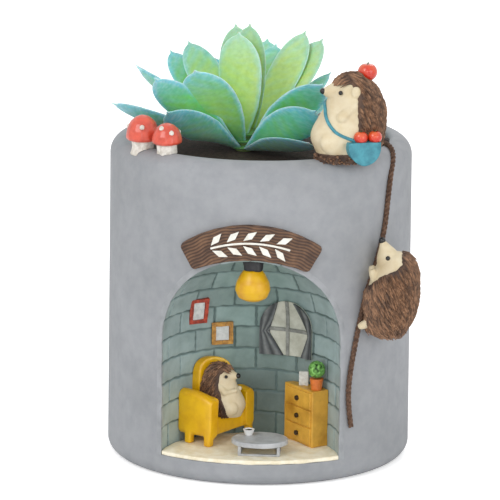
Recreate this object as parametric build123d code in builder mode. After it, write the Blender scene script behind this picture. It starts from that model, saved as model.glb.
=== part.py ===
from build123d import *
import math
import os

# A cast planter with a hedgehog family: a round grey pot with a domed brick
# alcove in its front, a furnished room in the alcove, figures on the rim and
# on the wall, and a succulent that lifts out of its gravel.
# Millimetres. X is to the right, Y to the back, Z up. The origin is the middle
# of the base, and the alcove looks along -Y.
# Bearings on the pot are degrees from the front, positive to the right.
# Bearings in the alcove are degrees from straight back, positive to the right.

# Pot
pot_height = 117.1
pot_top_radius = 54.7
pot_base_radius = 55.3
shoulder_radius = 6.3
base_edge_radius = 4.7
rim_inner_radius = 46.4
rim_lip_radius = 1.6
cavity_floor_radius = 44.0
pot_floor_thickness = 12.0
drain_radius = 4.0
drain_behind_axis = 18.0
overrun = 2.0

# Alcove: a half round room under a dome
alcove_radius = 32.0
alcove_axis_inset = 6.3
alcove_floor_height = 9.8
alcove_spring_height = 51.0
lining_thickness = 2.0
alcove_casing = 4.0
floor_slab_thickness = 1.5

# Brickwork
course_height = 7.95
brick_length = 15.4
joint_width = 0.45
joint_depth = 0.55
joint_slot_width = 0.6
dome_course_count = 4
brick_arc = 96.0

# Soil and gravel
soil_drop = 5.2
stone_height = 2.8
stone_half_length = 3.1
stone_ring_inset = 4.4
stone_count = 14
stone_sides = 6
stone_size_share = 0.18
stone_shift_share = 0.4
stone_swing = 40.0

# Sign over the alcove
sign_thickness = 1.9
sign_top_half_span = 25.3
sign_low_half_span = 20.4
sign_crown_rise = 12.6
sign_end_rise = 3.6
sign_end_drop = 4.8
sign_sill_drop = 0.1
sign_corner_radius = 1.6
sprig_relief = 0.5
sprig_leaf_length = 6.0
sprig_leaf_width = 2.4
sprig_leaf_pairs = 5
sprig_stem_width = 0.7
sprig_turn = 8.2
sprig_leaf_offset = 2.6
sprig_leaf_splay = 35.0

# Lamp under the dome
lamp_x = 0.7
lamp_forward = 1.0
lamp_bottom_height = 67.0
shade_height = 11.4
shade_radius = 6.3
cap_radius = 3.4
cap_overlap = 2.2

# Picture frames on the wall
frame_thickness = 1.3
card_recess = 0.5
red_frame_bearing = -41.0
red_frame_width = 7.4
red_frame_tall = 9.6
red_frame_border = 1.4
red_frame_height = 57.0
red_frame_tilt = -9.0
gold_frame_bearing = -22.6
gold_frame_width = 8.0
gold_frame_tall = 8.3
gold_frame_border = 1.5
gold_frame_height = 47.5
gold_frame_tilt = -4.0

# Window with curtains
window_bearing = 22.0
window_half_width = 10.2
window_sill_height = 39.8
window_spring_height = 50.0
window_bar_width = 1.3
window_cross_height = 49.4
pane_thickness = 0.7
bar_thickness = 0.5
curtain_thickness = 1.0
curtain_tie_width = 1.6
curtain_left_top = 2.6
curtain_left_tie = 6.8
curtain_left_hem = 1.6
curtain_right_top = 1.5
curtain_right_tie = 8.6
curtain_right_hem = 5.6

# Armchair
chair_bearing = -22.7
chair_wall_gap = 8.9
chair_turn = 57.0
chair_half_width = 13.2
chair_seat_height = 9.4
chair_seat_thickness = 6.4
chair_depth = 14.0
chair_arm_width = 5.0
chair_arm_height = 19.6
chair_arm_round = 2.3
chair_arm_reach = 1.8
chair_back_height = 30.0
chair_back_half_width = 5.9
chair_back_aside = 0.3
chair_back_round_share = 0.92
chair_back_thickness = 3.4
chair_leg_size = 2.6

# Chest of drawers
chest_bearing = 39.6
chest_wall_gap = 6.4
chest_turn = -53.1
chest_width = 17.9
chest_depth = 9.0
chest_height = 20.8
drawer_count = 3
drawer_margin = 0.9
drawer_gap = 0.5
drawer_proud = 0.5
knob_radius = 0.95
knob_depth = 0.8

# Things on the chest
book_width = 3.4
book_height = 5.2
book_thickness = 1.1
book_aside = 1.4
book_behind = 3.2
book_turn = 18.0
book_lean = 20.0
book_overrun_share = 4
bush_pot_top_radius = 2.5
bush_pot_base_radius = 1.9
bush_pot_height = 4.2
bush_radius = 3.7
bush_aside = 6.4
bush_behind = 3.4
bush_sunk_share = 0.8

# Table
table_x = 3.4
table_behind_axis = 5.6
table_half_length = 10.1
table_half_depth = 8.4
table_thickness = 1.8
table_height = 5.3
table_leg_size = 1.1
table_leg_inset = 2.6
table_frame_height = 0.7
cup_top_radius = 2.1
cup_base_radius = 1.3
cup_height = 2.2
cup_wall = 0.5
cup_floor = 0.6
cup_left = 4.2
cup_back = 3.6

# Mushrooms on the rim
big_cap_bearing = -55.1
big_cap_inset = 5.3
big_cap_radius = 6.2
big_cap_height = 9.2
big_stem_height = 2.5
small_cap_bearing = -40.7
small_cap_inset = 6.9
small_cap_radius = 5.6
small_cap_height = 7.4
small_stem_height = 3.0
stem_sides = 8
cap_sides = 14
spot_radius = 1.0

# Figures in general: a coat of quills stands proud of the body
coat_thickness = 0.5
eye_radius = 0.62
nose_radius = 0.95
figure_sides = 12
bead_sides = 8
small_bead_sides = 6

# Hedgehog on the rim
rim_figure_bearing = 38.9
rim_figure_inset = 4.6
rim_figure_height = 30.5
rim_figure_rise = 1.2
rim_figure_turn = -160.0
ear_radius = 1.7
rim_pad_height = 3.6
rim_pad_drop = 1.4
rim_pad_front = 10.4
rim_pad_back = 12.2
rim_pad_side = 6.8
rim_pad_taper = 4.0

# Satchel, strap and apples of the hedgehog on the rim
satchel_width = 11.8
satchel_height = 8.2
satchel_thickness = 4.6
satchel_aside = 9.0
satchel_behind = 4.4
satchel_hang = 0.9
satchel_low_width_share = 0.36
satchel_low_height_share = 0.75
satchel_edge_radius = 0.8
strap_width = 1.4
strap_thickness = 0.9
satchel_apple_radius = 2.5
satchel_apple_rise = 1.5
satchel_apple_shift = 1.6
satchel_apple_gap_share = 1.04
head_apple_radius = 3.45
head_apple_behind = 8.4
head_apple_rise = 29.2

# Rope
rope_radius = 1.0
rope_grip = 0.2
rope_bend_share = 0.45
knot_radius = 2.0

# Climbing hedgehog
climber_bearing = 51.2
climber_from_wall = 6.6
climber_foot_height = 53.2
climber_height = 31.0
climber_turn = -176.0
limb_radius = 1.6
hand_length = 5.4
hand_height_share = 0.63
hand_turn = 20.0
hand_rise_share = 3.0
foot_length = 7.4
foot_height_share = 0.20
foot_turn = 20.0
foot_drop_share = 0.45

# Hedgehog in the chair
sitter_height = 20.0
sitter_behind = 1.9
sitter_aside = 0.0
sitter_turn = -20.0
sitter_sink = 0.4

# Succulent
plant_x = -6.0
plant_y = -3.0
stem_radius = 3.0
stem_sink = 26.0
stem_clearance = 0.3
hub_radius = 5.4
hub_height = 2.0
hub_gap = 0.5
leaf_thickness = 3.0
leaf_root_radius = 3.4

# Shares that give the forms their shape, chosen by hand
# A sitting figure from base to crown: height, front, back and side as shares of its height
sitting_level_shares = [
    (0.00, 0.31, 0.36, 0.212),
    (0.09, 0.35, 0.413, 0.254),
    (0.20, 0.392, 0.45, 0.276),
    (0.31, 0.376, 0.466, 0.278),
    (0.43, 0.307, 0.477, 0.27),
    (0.55, 0.238, 0.466, 0.254),
    (0.655, 0.196, 0.424, 0.238),
    (0.76, 0.16, 0.371, 0.217),
    (0.845, 0.10, 0.30, 0.18),
    (0.91, 0.03, 0.22, 0.122),
    (0.95, -0.05, 0.14, 0.058),
]
# The coat's outline seen from the side: forward and height shares
sitting_coat_shares = [
    (0.17, 1.20),
    (0.13, 0.875),
    (-0.03, 0.852),
    (-0.085, 0.80),
    (-0.10, 0.73),
    (-0.09, 0.56),
    (-0.10, 0.28),
    (-0.10, -0.20),
    (-0.80, -0.20),
    (-0.80, 1.20),
]
# The seated hedgehog's quills come further forward round its side
lounging_coat_shares = [
    (0.20, 1.20),
    (0.17, 0.88),
    (0.07, 0.86),
    (-0.01, 0.80),
    (-0.03, 0.62),
    (0.06, 0.34),
    (0.15, 0.12),
    (0.16, -0.20),
    (-0.80, -0.20),
    (-0.80, 1.20),
]
snout_level_shares = [
    (-0.02, 0.13, 0.17, 0.15),
    (0.09, 0.11, 0.135, 0.12),
    (0.17, 0.075, 0.10, 0.085),
    (0.235, 0.04, 0.06, 0.05),
    (0.262, 0.02, 0.03, 0.028),
]
snout_height_share = 0.755
eye_height_share = 0.755
ear_height_share = 0.76
eye_turn = 44.0
ear_turn = 86.0
# A climbing figure from its round back end to its crown
climbing_level_shares = [
    (0.00, 0.10, 0.11, 0.09),
    (0.035, 0.165, 0.175, 0.15),
    (0.12, 0.235, 0.23, 0.20),
    (0.22, 0.245, 0.285, 0.25),
    (0.40, 0.25, 0.33, 0.28),
    (0.58, 0.222, 0.336, 0.28),
    (0.75, 0.17, 0.324, 0.24),
    (0.86, 0.11, 0.28, 0.19),
    (0.94, 0.04, 0.215, 0.13),
    (0.975, -0.03, 0.16, 0.06),
]
climbing_coat_shares = [
    (0.60, 0.53),
    (0.25, 0.56),
    (0.17, 0.655),
    (0.10, 0.72),
    (0.0, 0.775),
    (-0.12, 0.83),
    (-0.165, 0.87),
    (-0.13, 1.20),
    (-0.80, 1.20),
    (-0.80, -0.30),
    (0.60, -0.30),
]
climbing_head_shares = [
    (-0.14, 0.13, 0.13, 0.13),
    (0.00, 0.15, 0.15, 0.14),
    (0.10, 0.115, 0.12, 0.11),
    (0.19, 0.065, 0.065, 0.06),
    (0.255, 0.03, 0.03, 0.03),
]
climbing_head_rise_share = 0.86
climbing_head_behind_share = 0.015
climbing_head_turn = 70.0
climbing_eye_share = 0.07
limb_level_shares = [
    (0.00, 0.75, 0.75, 0.75),
    (0.25, 1.00, 1.00, 1.00),
    (0.75, 0.95, 0.95, 0.90),
    (0.95, 0.65, 0.65, 0.60),
]
# The strap's way over the body: height share and turn from the front
strap_route_shares = [
    (0.20, 96),
    (0.27, 66),
    (0.38, 44),
    (0.48, 24),
    (0.57, 8),
    (0.61, -12),
    (0.63, -45),
    (0.63, -85),
]
# Rings of the shade, the caps and the stones: reach and height
shade_shares = [(0.0, 0.0), (0.45, 0.02), (0.82, 0.12), (1.0, 0.36), (0.93, 0.60), (0.70, 0.85), (0.50, 1.0), (0.0, 1.0)]
cap_level_shares = [
    (0.0, 0.86, 0.86, 0.86),
    (0.12, 1.0, 1.0, 1.0),
    (0.42, 0.94, 0.94, 0.94),
    (0.72, 0.74, 0.74, 0.74),
    (0.92, 0.42, 0.42, 0.42),
    (1.0, 0.12, 0.12, 0.12),
]
stem_level_shares = [
    (0.0, 0.78, 0.78, 0.78),
    (0.45, 0.66, 0.66, 0.66),
    (1.0, 0.74, 0.74, 0.74),
]
stone_level_shares = [
    (0.0, 0.86, 0.80, 0.62),
    (0.5, 1.00, 0.92, 0.74),
    (1.0, 0.52, 0.48, 0.36),
]
# White spots on the caps: bearing and height share
big_spot_places = [(2, 0.60), (70, 0.45), (150, 0.62), (-110, 0.50)]
small_spot_places = [(25, 0.62), (-30, 0.80), (130, 0.50)]
# Leaves: how far along, half width and thickness, as shares
leaf_section_shares = [
    (0.0, 0.34, 0.55),
    (0.15, 0.60, 0.75),
    (0.30, 0.82, 0.9),
    (0.60, 1.0, 1.0),
    (0.86, 0.76, 0.6),
    (1.0, 0.06, 0.14),
]
leaf_roll_start_share = 0.45
leaf_keel_share = 0.5
leaf_under_share = 0.36
leaf_top_share = 0.2
leaf_low_root_share = 0.35
leaf_root_spread_share = 0.6
leaf_bend_out_share = 0.52
leaf_bend_up_share = 0.44

# Rope route: over the rounded rim as (bearing, degrees up from level), then down
# the wall as (bearing, share of the pot's height)
rope_rim_places = [(74.5, 104.0), (70.6, 86.0), (67.8, 60.0), (63.4, 30.0)]
rope_wall_share_places = [
    (59.9, 0.935),
    (58.2, 0.862),
    (56.2, 0.762),
    (51.8, 0.672),
    (46.4, 0.583),
    (43.2, 0.494),
    (40.6, 0.402),
    (38.6, 0.312),
    (38.5, 0.236),
    (39.9, 0.171),
]

# Leaves of each whorl, lowest first: bearing, reach, rise over the soil, half width, roll
leaf_places = [
    [
        (40, 39, 9, 8.4, -22),
        (88, 36, 14, 7.8, -20),
        (-178, 43, 15, 7.8, 0),
        (-134, 44, 16, 7.8, 0),
        (-84, 48, 17, 7.6, 28),
        (-54, 33, 17, 8.6, 36),
        (132, 42, 17, 7.8, 0),
        (52, 34, 19, 8.8, -42),
        (-160, 40, 26, 7.8, 0),
        (112, 33, 27, 7.8, 0),
        (-108, 43, 28, 7.8, 10),
        (-60, 36, 29, 8.4, 38),
        (155, 39, 29, 7.8, 0),
    ],
    [
        (68, 31, 27, 8.6, -38),
        (-86, 39, 30, 8.0, 25),
        (-150, 30, 30, 7.8, 0),
        (-128, 37, 32, 7.6, -8),
        (-36, 28, 33, 9.6, 24),
        (136, 32, 35, 7.8, 0),
        (158, 26, 35, 7.6, 0),
        (168, 30, 36, 7.8, 0),
        (118, 31, 39, 8.2, 14),
        (132, 28, 41, 7.6, 10),
    ],
    [
        (-132, 30, 36, 7.6, -10),
        (-24, 5, 44, 8.8, 0),
        (-150, 8, 45, 7.4, 0),
        (150, 3, 46, 7.4, 0),
    ],
]


def revolved_room(radius, bottom_height):
    # The alcove's space at a given radius: a round room under a half sphere
    with BuildPart() as room:
        with BuildSketch(alcove_section):
            with BuildLine():
                Line((0, alcove_spring_height + radius), (0, bottom_height))
                Line((0, bottom_height), (radius, bottom_height))
                Line((radius, bottom_height), (radius, alcove_spring_height))
                CenterArc((0, alcove_spring_height), radius, 0, 90)
            make_face()
        revolve(axis=alcove_axis)
    return room.part


def pot_place(bearing, radius, height):
    turn = math.radians(bearing)
    return Vector(radius * math.sin(turn), -radius * math.cos(turn), height)


def alcove_place(bearing, radius, height):
    turn = math.radians(bearing)
    return Vector(radius * math.sin(turn), alcove_y + radius * math.cos(turn), height)


def wall_radius(height):
    # The pot's side tapers a little from base to top
    return pot_base_radius + (pot_top_radius - pot_base_radius) * height / pot_height


def oval_point(front, back, side, turn):
    middle = (front - back) / 2
    reach = (front + back) / 2
    return (middle + reach * math.cos(turn), side * math.sin(turn))


def ringed_solid(rings):
    # A closed solid through rings of points, with flat sides between them
    faces = [Face(Wire.make_polygon(rings[0])), Face(Wire.make_polygon(rings[-1]))]
    for lower, upper in zip(rings, rings[1:]):
        for step in range(len(lower)):
            faces.append(Face(Wire.make_polygon([lower[step - 1], lower[step], upper[step]])))
            faces.append(Face(Wire.make_polygon([lower[step - 1], upper[step], upper[step - 1]])))
    return Solid(Shell(faces))


def swelling_form(plane, length, girth, level_shares, sides):
    # A modelled body from levels (height, front, back, side), as shares of its length and girth
    rings = []
    for height_share, front_share, back_share, side_share in level_shares:
        level = plane.offset(length * height_share)
        outline = [
            oval_point(
                girth * front_share,
                girth * back_share,
                girth * side_share,
                2 * math.pi * (step + 0.5) / sides,
            )
            for step in range(sides)
        ]
        rings.append([level.from_local_coords(Vector(x, y, 0)) for x, y in outline])
    return ringed_solid(rings)


def surface_place(plane, size, level_shares, height_share, turn):
    # A point on a figure's side, turned in degrees from its front
    lower = max((level for level in level_shares if level[0] <= height_share), key=lambda level: level[0])
    upper = min((level for level in level_shares if level[0] > height_share), key=lambda level: level[0])
    mix = (height_share - lower[0]) / (upper[0] - lower[0])
    front, back, side = [low + (high - low) * mix for low, high in zip(lower[1:], upper[1:])]
    x, y = oval_point(size * front, size * back, size * side, math.radians(turn))
    return plane.from_local_coords(Vector(x, y, size * height_share))


def bead(centre, radius, sides):
    # A small faceted ball, its levels even steps round a half circle
    levels = sides // 2
    level_shares = []
    for step in range(levels + 1):
        turn = math.pi * (step + 0.35) / (levels + 0.7)
        level_shares.append((-math.cos(turn), math.sin(turn), math.sin(turn), math.sin(turn)))
    return swelling_form(Plane(centre), radius, radius, level_shares, sides)


def turned_form(plane, radius, height, ring_shares):
    # A turned piece on the plane, from rings (reach, height) given as shares
    with BuildPart() as turned:
        with BuildSketch(Plane(plane.origin, x_dir=plane.x_dir, z_dir=-plane.y_dir)):
            with BuildLine():
                Polyline(*[(radius * reach, height * rise) for reach, rise in ring_shares], close=True)
            make_face()
        revolve(axis=Axis(plane.origin, plane.z_dir))
    return turned.part


def figure_prism(plane, size, outline_shares):
    # The side outline of a figure's coat, drawn through its whole width
    with BuildPart() as prism:
        with BuildSketch(Plane(plane.origin, x_dir=plane.x_dir, z_dir=-plane.y_dir)):
            with BuildLine():
                Polyline(*[(size * forward, size * height) for forward, height in outline_shares], close=True)
            make_face()
        extrude(amount=size, both=True)
    return prism.part


def swollen(level_shares, growth_share):
    # The same levels a little further out, for a coat over a body
    return [
        (height, front + growth_share, back + growth_share, side + growth_share)
        for height, front, back, side in level_shares
    ]


def write_piece(part, name):
    part.label = name
    export_step(part, "parts/" + name + ".step")


os.makedirs("parts", exist_ok=True)

# The alcove's axis, just inside the pot's front, and the plane of its profiles
alcove_y = alcove_axis_inset - pot_base_radius
alcove_axis = Axis((0, alcove_y, 0), (0, 0, 1))
alcove_section = Plane((0, alcove_y, 0), x_dir=(1, 0, 0), z_dir=(0, -1, 0))
alcove_crown_height = alcove_spring_height + alcove_radius
slab_bottom_height = alcove_floor_height - floor_slab_thickness
soil_height = pot_height - soil_drop

# Spaces that the pieces are cut by
with BuildPart() as pot_envelope:
    with BuildSketch(Plane.XZ):
        with BuildLine():
            Polyline((0, 0), (pot_base_radius, 0), (pot_top_radius, pot_height), (0, pot_height), close=True)
        make_face()
    revolve(axis=Axis.Z)
    round_edges = pot_envelope.edges().filter_by(GeomType.CIRCLE).sort_by(Axis.Z)
    fillet(round_edges[-1], shoulder_radius)
    fillet(pot_envelope.edges().filter_by(GeomType.CIRCLE).sort_by(Axis.Z)[0], base_edge_radius)

room_space = revolved_room(alcove_radius, slab_bottom_height)
lining_space = revolved_room(alcove_radius + lining_thickness, slab_bottom_height)
casing_space = revolved_room(alcove_radius + lining_thickness + alcove_casing, 0)

with BuildPart() as furnishing_space:
    add(room_space)
    with BuildSketch(Plane.XY):
        with Locations((0, alcove_y)):
            Rectangle(4 * alcove_radius, 4 * alcove_radius)
    extrude(amount=alcove_floor_height, mode=Mode.SUBTRACT)

with BuildPart() as outside_room:
    with BuildSketch(Plane.XY):
        with Locations((0, alcove_y)):
            Rectangle(4 * alcove_radius, 4 * alcove_radius)
    extrude(amount=pot_height)
    add(furnishing_space.part, mode=Mode.SUBTRACT)

with BuildPart() as cavity_space:
    with BuildSketch(Plane.XZ):
        with BuildLine():
            Polyline(
                (0, pot_floor_thickness),
                (cavity_floor_radius, pot_floor_thickness),
                (rim_inner_radius, pot_height),
                (0, pot_height),
                close=True,
            )
        make_face()
    revolve(axis=Axis.Z)
    add(casing_space, mode=Mode.SUBTRACT)

# Pot
with BuildPart() as pot_body:
    add(pot_envelope.part)
    add(cavity_space.part, mode=Mode.SUBTRACT)
    rim_circle = pot_body.edges().filter_by(GeomType.CIRCLE).filter_by(
        lambda edge: abs(edge.radius - rim_inner_radius) < rim_lip_radius / 2
        and abs(edge.center().Z - pot_height) < rim_lip_radius / 2
    )
    fillet(rim_circle, rim_lip_radius)
    add(lining_space, mode=Mode.SUBTRACT)
    with BuildSketch(Plane.XY):
        with Locations((0, drain_behind_axis)):
            Circle(drain_radius)
    extrude(amount=pot_floor_thickness + overrun, mode=Mode.SUBTRACT)
write_piece(pot_body.part, "pot_body")

# Brick lining of the alcove: level joints run round the room and over the dome,
# and upright joints are staggered from course to course
wall_course_count = int((alcove_spring_height - alcove_floor_height) / course_height)


def course_seat(height):
    # Radius, height and tilt of the wall at a distance up its face
    over = max(height - alcove_spring_height, 0)
    tilt = over / alcove_radius
    level = min(height, alcove_spring_height) + alcove_radius * math.sin(tilt)
    return alcove_radius * math.cos(tilt), level, tilt


def level_joint(height):
    # A V groove's section with its point into the wall
    reach, level, tilt = course_seat(height)
    corners = []
    for along, across in [(joint_depth, 0), (-joint_depth, joint_width), (-joint_depth, -joint_width)]:
        corners.append(
            (
                reach + along * math.cos(tilt) - across * math.sin(tilt),
                level + along * math.sin(tilt) + across * math.cos(tilt),
            )
        )
    return corners


with BuildPart() as alcove_wall:
    add(lining_space)
    add(room_space, mode=Mode.SUBTRACT)
    add(pot_envelope.part, mode=Mode.INTERSECT)
    for course in range(1, wall_course_count + dome_course_count + 1):
        with BuildSketch(alcove_section):
            with BuildLine():
                Polyline(*level_joint(alcove_floor_height + course * course_height), close=True)
            make_face()
        revolve(axis=alcove_axis, mode=Mode.SUBTRACT)
    for course in range(wall_course_count + dome_course_count):
        reach, level, tilt = course_seat(alcove_floor_height + (course + 0.5) * course_height)
        brick_turn = math.degrees(brick_length / reach)
        joint_count = int(brick_arc / brick_turn)
        for joint in range(-joint_count, joint_count + 1):
            turn = math.radians((joint + 0.5 * (course % 2)) * brick_turn)
            slot_plane = Plane(
                origin=alcove_place(math.degrees(turn), reach, level),
                x_dir=(math.cos(turn), -math.sin(turn), 0),
                z_dir=(
                    math.sin(turn) * math.cos(tilt),
                    math.cos(turn) * math.cos(tilt),
                    math.sin(tilt),
                ),
            )
            with BuildSketch(slot_plane.offset(-joint_width)):
                Rectangle(joint_slot_width, course_height)
            extrude(amount=joint_width + joint_depth, mode=Mode.SUBTRACT)
write_piece(alcove_wall.part, "alcove_wall")

with BuildPart() as alcove_floor:
    with BuildSketch(Plane.XY.offset(slab_bottom_height)):
        with Locations((0, alcove_y)):
            Circle(alcove_radius)
    extrude(amount=floor_slab_thickness)
    add(pot_envelope.part, mode=Mode.INTERSECT)
write_piece(alcove_floor.part, "alcove_floor")

# Sign: an arched plank that hugs the wall over the alcove, with a raised sprig
with BuildPart() as sign_board:
    with BuildSketch(Plane.XY):
        Circle(wall_radius(alcove_crown_height) + sign_thickness)
    extrude(amount=pot_height)
    with BuildSketch(Plane.XZ) as sign_outline:
        with BuildLine():
            top_end = (sign_top_half_span, alcove_crown_height + sign_end_rise)
            low_end = (sign_low_half_span, alcove_crown_height - sign_end_drop)
            ThreePointArc((-top_end[0], top_end[1]), (0, alcove_crown_height + sign_crown_rise), top_end)
            Line(top_end, low_end)
            ThreePointArc(low_end, (0, alcove_crown_height - sign_sill_drop), (-low_end[0], low_end[1]))
            Line((-low_end[0], low_end[1]), (-top_end[0], top_end[1]))
        make_face()
        fillet(sign_outline.vertices(), sign_corner_radius)
    extrude(amount=2 * pot_base_radius, mode=Mode.INTERSECT)
    add(pot_envelope.part, mode=Mode.SUBTRACT)
write_piece(sign_board.part, "sign_board")

sprig_middle_height = alcove_crown_height + (sign_crown_rise - sign_sill_drop) / 2
sprig_bow_radius = (sign_top_half_span**2 + (sign_crown_rise - sign_end_rise) ** 2) / (
    2 * (sign_crown_rise - sign_end_rise)
)
sprig_bow_height = sprig_middle_height - sprig_bow_radius
with BuildPart() as sign_sprig:
    with BuildSketch(Plane.XY):
        Circle(wall_radius(alcove_crown_height) + sign_thickness + sprig_relief)
        Circle(wall_radius(alcove_crown_height) + sign_thickness, mode=Mode.SUBTRACT)
    extrude(amount=pot_height)
    with BuildSketch(Plane.XZ) as sprig_outline:
        for step in range(sprig_leaf_pairs):
            bow_turn = sprig_turn * (step - (sprig_leaf_pairs - 1) / 2)
            for side in (1, -1):
                reach = sprig_bow_radius + side * sprig_leaf_offset
                spot = (
                    reach * math.sin(math.radians(bow_turn)),
                    sprig_bow_height + reach * math.cos(math.radians(bow_turn)),
                )
                with Locations(Location(spot, side * sprig_leaf_splay - bow_turn)):
                    Polygon(
                        (-sprig_leaf_length / 2, 0),
                        (0, -sprig_leaf_width / 2),
                        (sprig_leaf_length / 2, 0),
                        (0, sprig_leaf_width / 2),
                    )
        with BuildLine():
            stem_turn = sprig_turn * sprig_leaf_pairs / 2
            outer = sprig_bow_radius + sprig_stem_width / 2
            inner = sprig_bow_radius - sprig_stem_width / 2
            upper_arc = CenterArc((0, sprig_bow_height), outer, 90 - stem_turn, 2 * stem_turn)
            lower_arc = CenterArc((0, sprig_bow_height), inner, 90 - stem_turn, 2 * stem_turn)
            Line(upper_arc @ 0, lower_arc @ 0)
            Line(upper_arc @ 1, lower_arc @ 1)
        make_face()
    extrude(amount=2 * pot_base_radius, mode=Mode.INTERSECT)
write_piece(sign_sprig.part, "sign_sprig")

# Lamp: a round shade under a cap that grows from the dome
lamp_plane = Plane((lamp_x, alcove_y - lamp_forward, lamp_bottom_height))
lamp_shade = turned_form(lamp_plane, shade_radius, shade_height, shade_shares)
write_piece(lamp_shade, "lamp_shade")
with BuildPart() as lamp_cap:
    with BuildSketch(lamp_plane.offset(shade_height - cap_overlap)):
        Circle(cap_radius)
    extrude(amount=alcove_radius)
    add(lamp_shade, mode=Mode.SUBTRACT)
    add(room_space, mode=Mode.INTERSECT)
write_piece(lamp_cap.part, "lamp_cap")


# Picture frames: they lie on the wall, leaning in with the dome
def wall_plane(bearing, height):
    tilt = math.asin(max(height - alcove_spring_height, 0) / alcove_radius)
    turn = math.radians(bearing)
    return Plane(
        origin=alcove_place(bearing, alcove_radius * math.cos(tilt), height),
        x_dir=(math.cos(turn), -math.sin(turn), 0),
        z_dir=(
            -math.sin(turn) * math.cos(tilt),
            -math.cos(turn) * math.cos(tilt),
            -math.sin(tilt),
        ),
    )


def picture(name, bearing, height, width, tall, border, tilt):
    hanging = wall_plane(bearing, height).rotated((0, 0, tilt))
    with BuildPart() as frame:
        with BuildSketch(hanging.offset(frame_thickness)):
            Rectangle(width, tall)
            Rectangle(width - 2 * border, tall - 2 * border, mode=Mode.SUBTRACT)
        extrude(amount=-frame_thickness - overrun)
        add(room_space, mode=Mode.INTERSECT)
    with BuildPart() as card:
        with BuildSketch(hanging.offset(frame_thickness - card_recess)):
            Rectangle(width - 2 * border, tall - 2 * border)
        extrude(amount=-frame_thickness - overrun)
        add(room_space, mode=Mode.INTERSECT)
    write_piece(frame.part, name)
    write_piece(card.part, name + "_card")


picture(
    "red_frame", red_frame_bearing, red_frame_height, red_frame_width, red_frame_tall, red_frame_border, red_frame_tilt
)
picture(
    "gold_frame",
    gold_frame_bearing,
    gold_frame_height,
    gold_frame_width,
    gold_frame_tall,
    gold_frame_border,
    gold_frame_tilt,
)

# Window: panes, bars and tied curtains in shells that follow the wall
window_turn = math.radians(window_bearing)
window_plane = Plane(
    (0, alcove_y, 0),
    x_dir=(math.cos(window_turn), -math.sin(window_turn), 0),
    z_dir=(-math.sin(window_turn), -math.cos(window_turn), 0),
)
window_top_height = window_spring_height + window_half_width
pane_face_space = revolved_room(alcove_radius - pane_thickness, slab_bottom_height)
bar_face_space = revolved_room(alcove_radius - pane_thickness - bar_thickness, slab_bottom_height)
curtain_face_space = revolved_room(alcove_radius - pane_thickness - curtain_thickness, slab_bottom_height)

with BuildPart() as window_block:
    with BuildSketch(window_plane):
        with BuildLine():
            Line((-window_half_width, window_spring_height), (-window_half_width, window_sill_height))
            Line((-window_half_width, window_sill_height), (window_half_width, window_sill_height))
            Line((window_half_width, window_sill_height), (window_half_width, window_spring_height))
            CenterArc((0, window_spring_height), window_half_width, 0, 180)
        make_face()
    extrude(amount=-alcove_radius - overrun)

with BuildPart() as window_pane:
    add(window_block.part)
    add(room_space, mode=Mode.INTERSECT)
    add(pane_face_space, mode=Mode.SUBTRACT)
write_piece(window_pane.part, "window_pane")

with BuildPart() as window_frame:
    with BuildSketch(window_plane):
        with Locations((0, (window_sill_height + window_top_height) / 2)):
            Rectangle(window_bar_width, window_top_height - window_sill_height)
        with Locations((0, window_cross_height)):
            Rectangle(2 * window_half_width - window_bar_width, window_bar_width)
    extrude(amount=-alcove_radius - overrun)
    add(pane_face_space, mode=Mode.INTERSECT)
    add(bar_face_space, mode=Mode.SUBTRACT)
write_piece(window_frame.part, "window_frame")

with BuildPart() as window_curtains:
    add(window_block.part)
    tie_low = window_cross_height - curtain_tie_width
    with BuildSketch(window_plane):
        with BuildLine():
            Polyline(
                (-curtain_left_top, window_top_height + overrun),
                (-curtain_left_tie, window_cross_height),
                (-curtain_left_tie, tie_low),
                (-curtain_left_hem, window_sill_height),
                (-curtain_left_hem, window_sill_height - overrun),
                (curtain_right_hem, window_sill_height - overrun),
                (curtain_right_hem, window_sill_height),
                (curtain_right_tie, tie_low),
                (curtain_right_tie, window_cross_height),
                (curtain_right_top, window_top_height + overrun),
                close=True,
            )
        make_face()
    extrude(amount=-alcove_radius - overrun, mode=Mode.SUBTRACT)
    add(pane_face_space, mode=Mode.INTERSECT)
    add(curtain_face_space, mode=Mode.SUBTRACT)
    add(window_frame.part, mode=Mode.SUBTRACT)
write_piece(window_curtains.part, "window_curtains")

# Armchair: it grows out of the wall, turned to the middle of the room
chair_angle = math.radians(chair_turn)
chair_plane = Plane(
    alcove_place(chair_bearing, alcove_radius - chair_wall_gap, alcove_floor_height),
    x_dir=(math.cos(chair_angle), math.sin(chair_angle), 0),
    z_dir=(0, 0, 1),
)
chair_front = Plane(chair_plane.origin, x_dir=chair_plane.x_dir, z_dir=-chair_plane.y_dir)
chair_under_height = chair_seat_height - chair_seat_thickness
back_face_space = revolved_room(alcove_radius - chair_back_thickness, slab_bottom_height)

with BuildPart() as chair_back:
    with BuildSketch(chair_front) as back_outline:
        with Locations((-chair_back_aside, (chair_under_height + chair_back_height) / 2)):
            Rectangle(2 * chair_back_half_width, chair_back_height - chair_under_height)
        fillet(back_outline.vertices().group_by(Axis.Z)[-1], chair_back_round_share * chair_back_half_width)
    extrude(amount=-chair_depth - overrun)
    add(back_face_space, mode=Mode.SUBTRACT)

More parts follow.
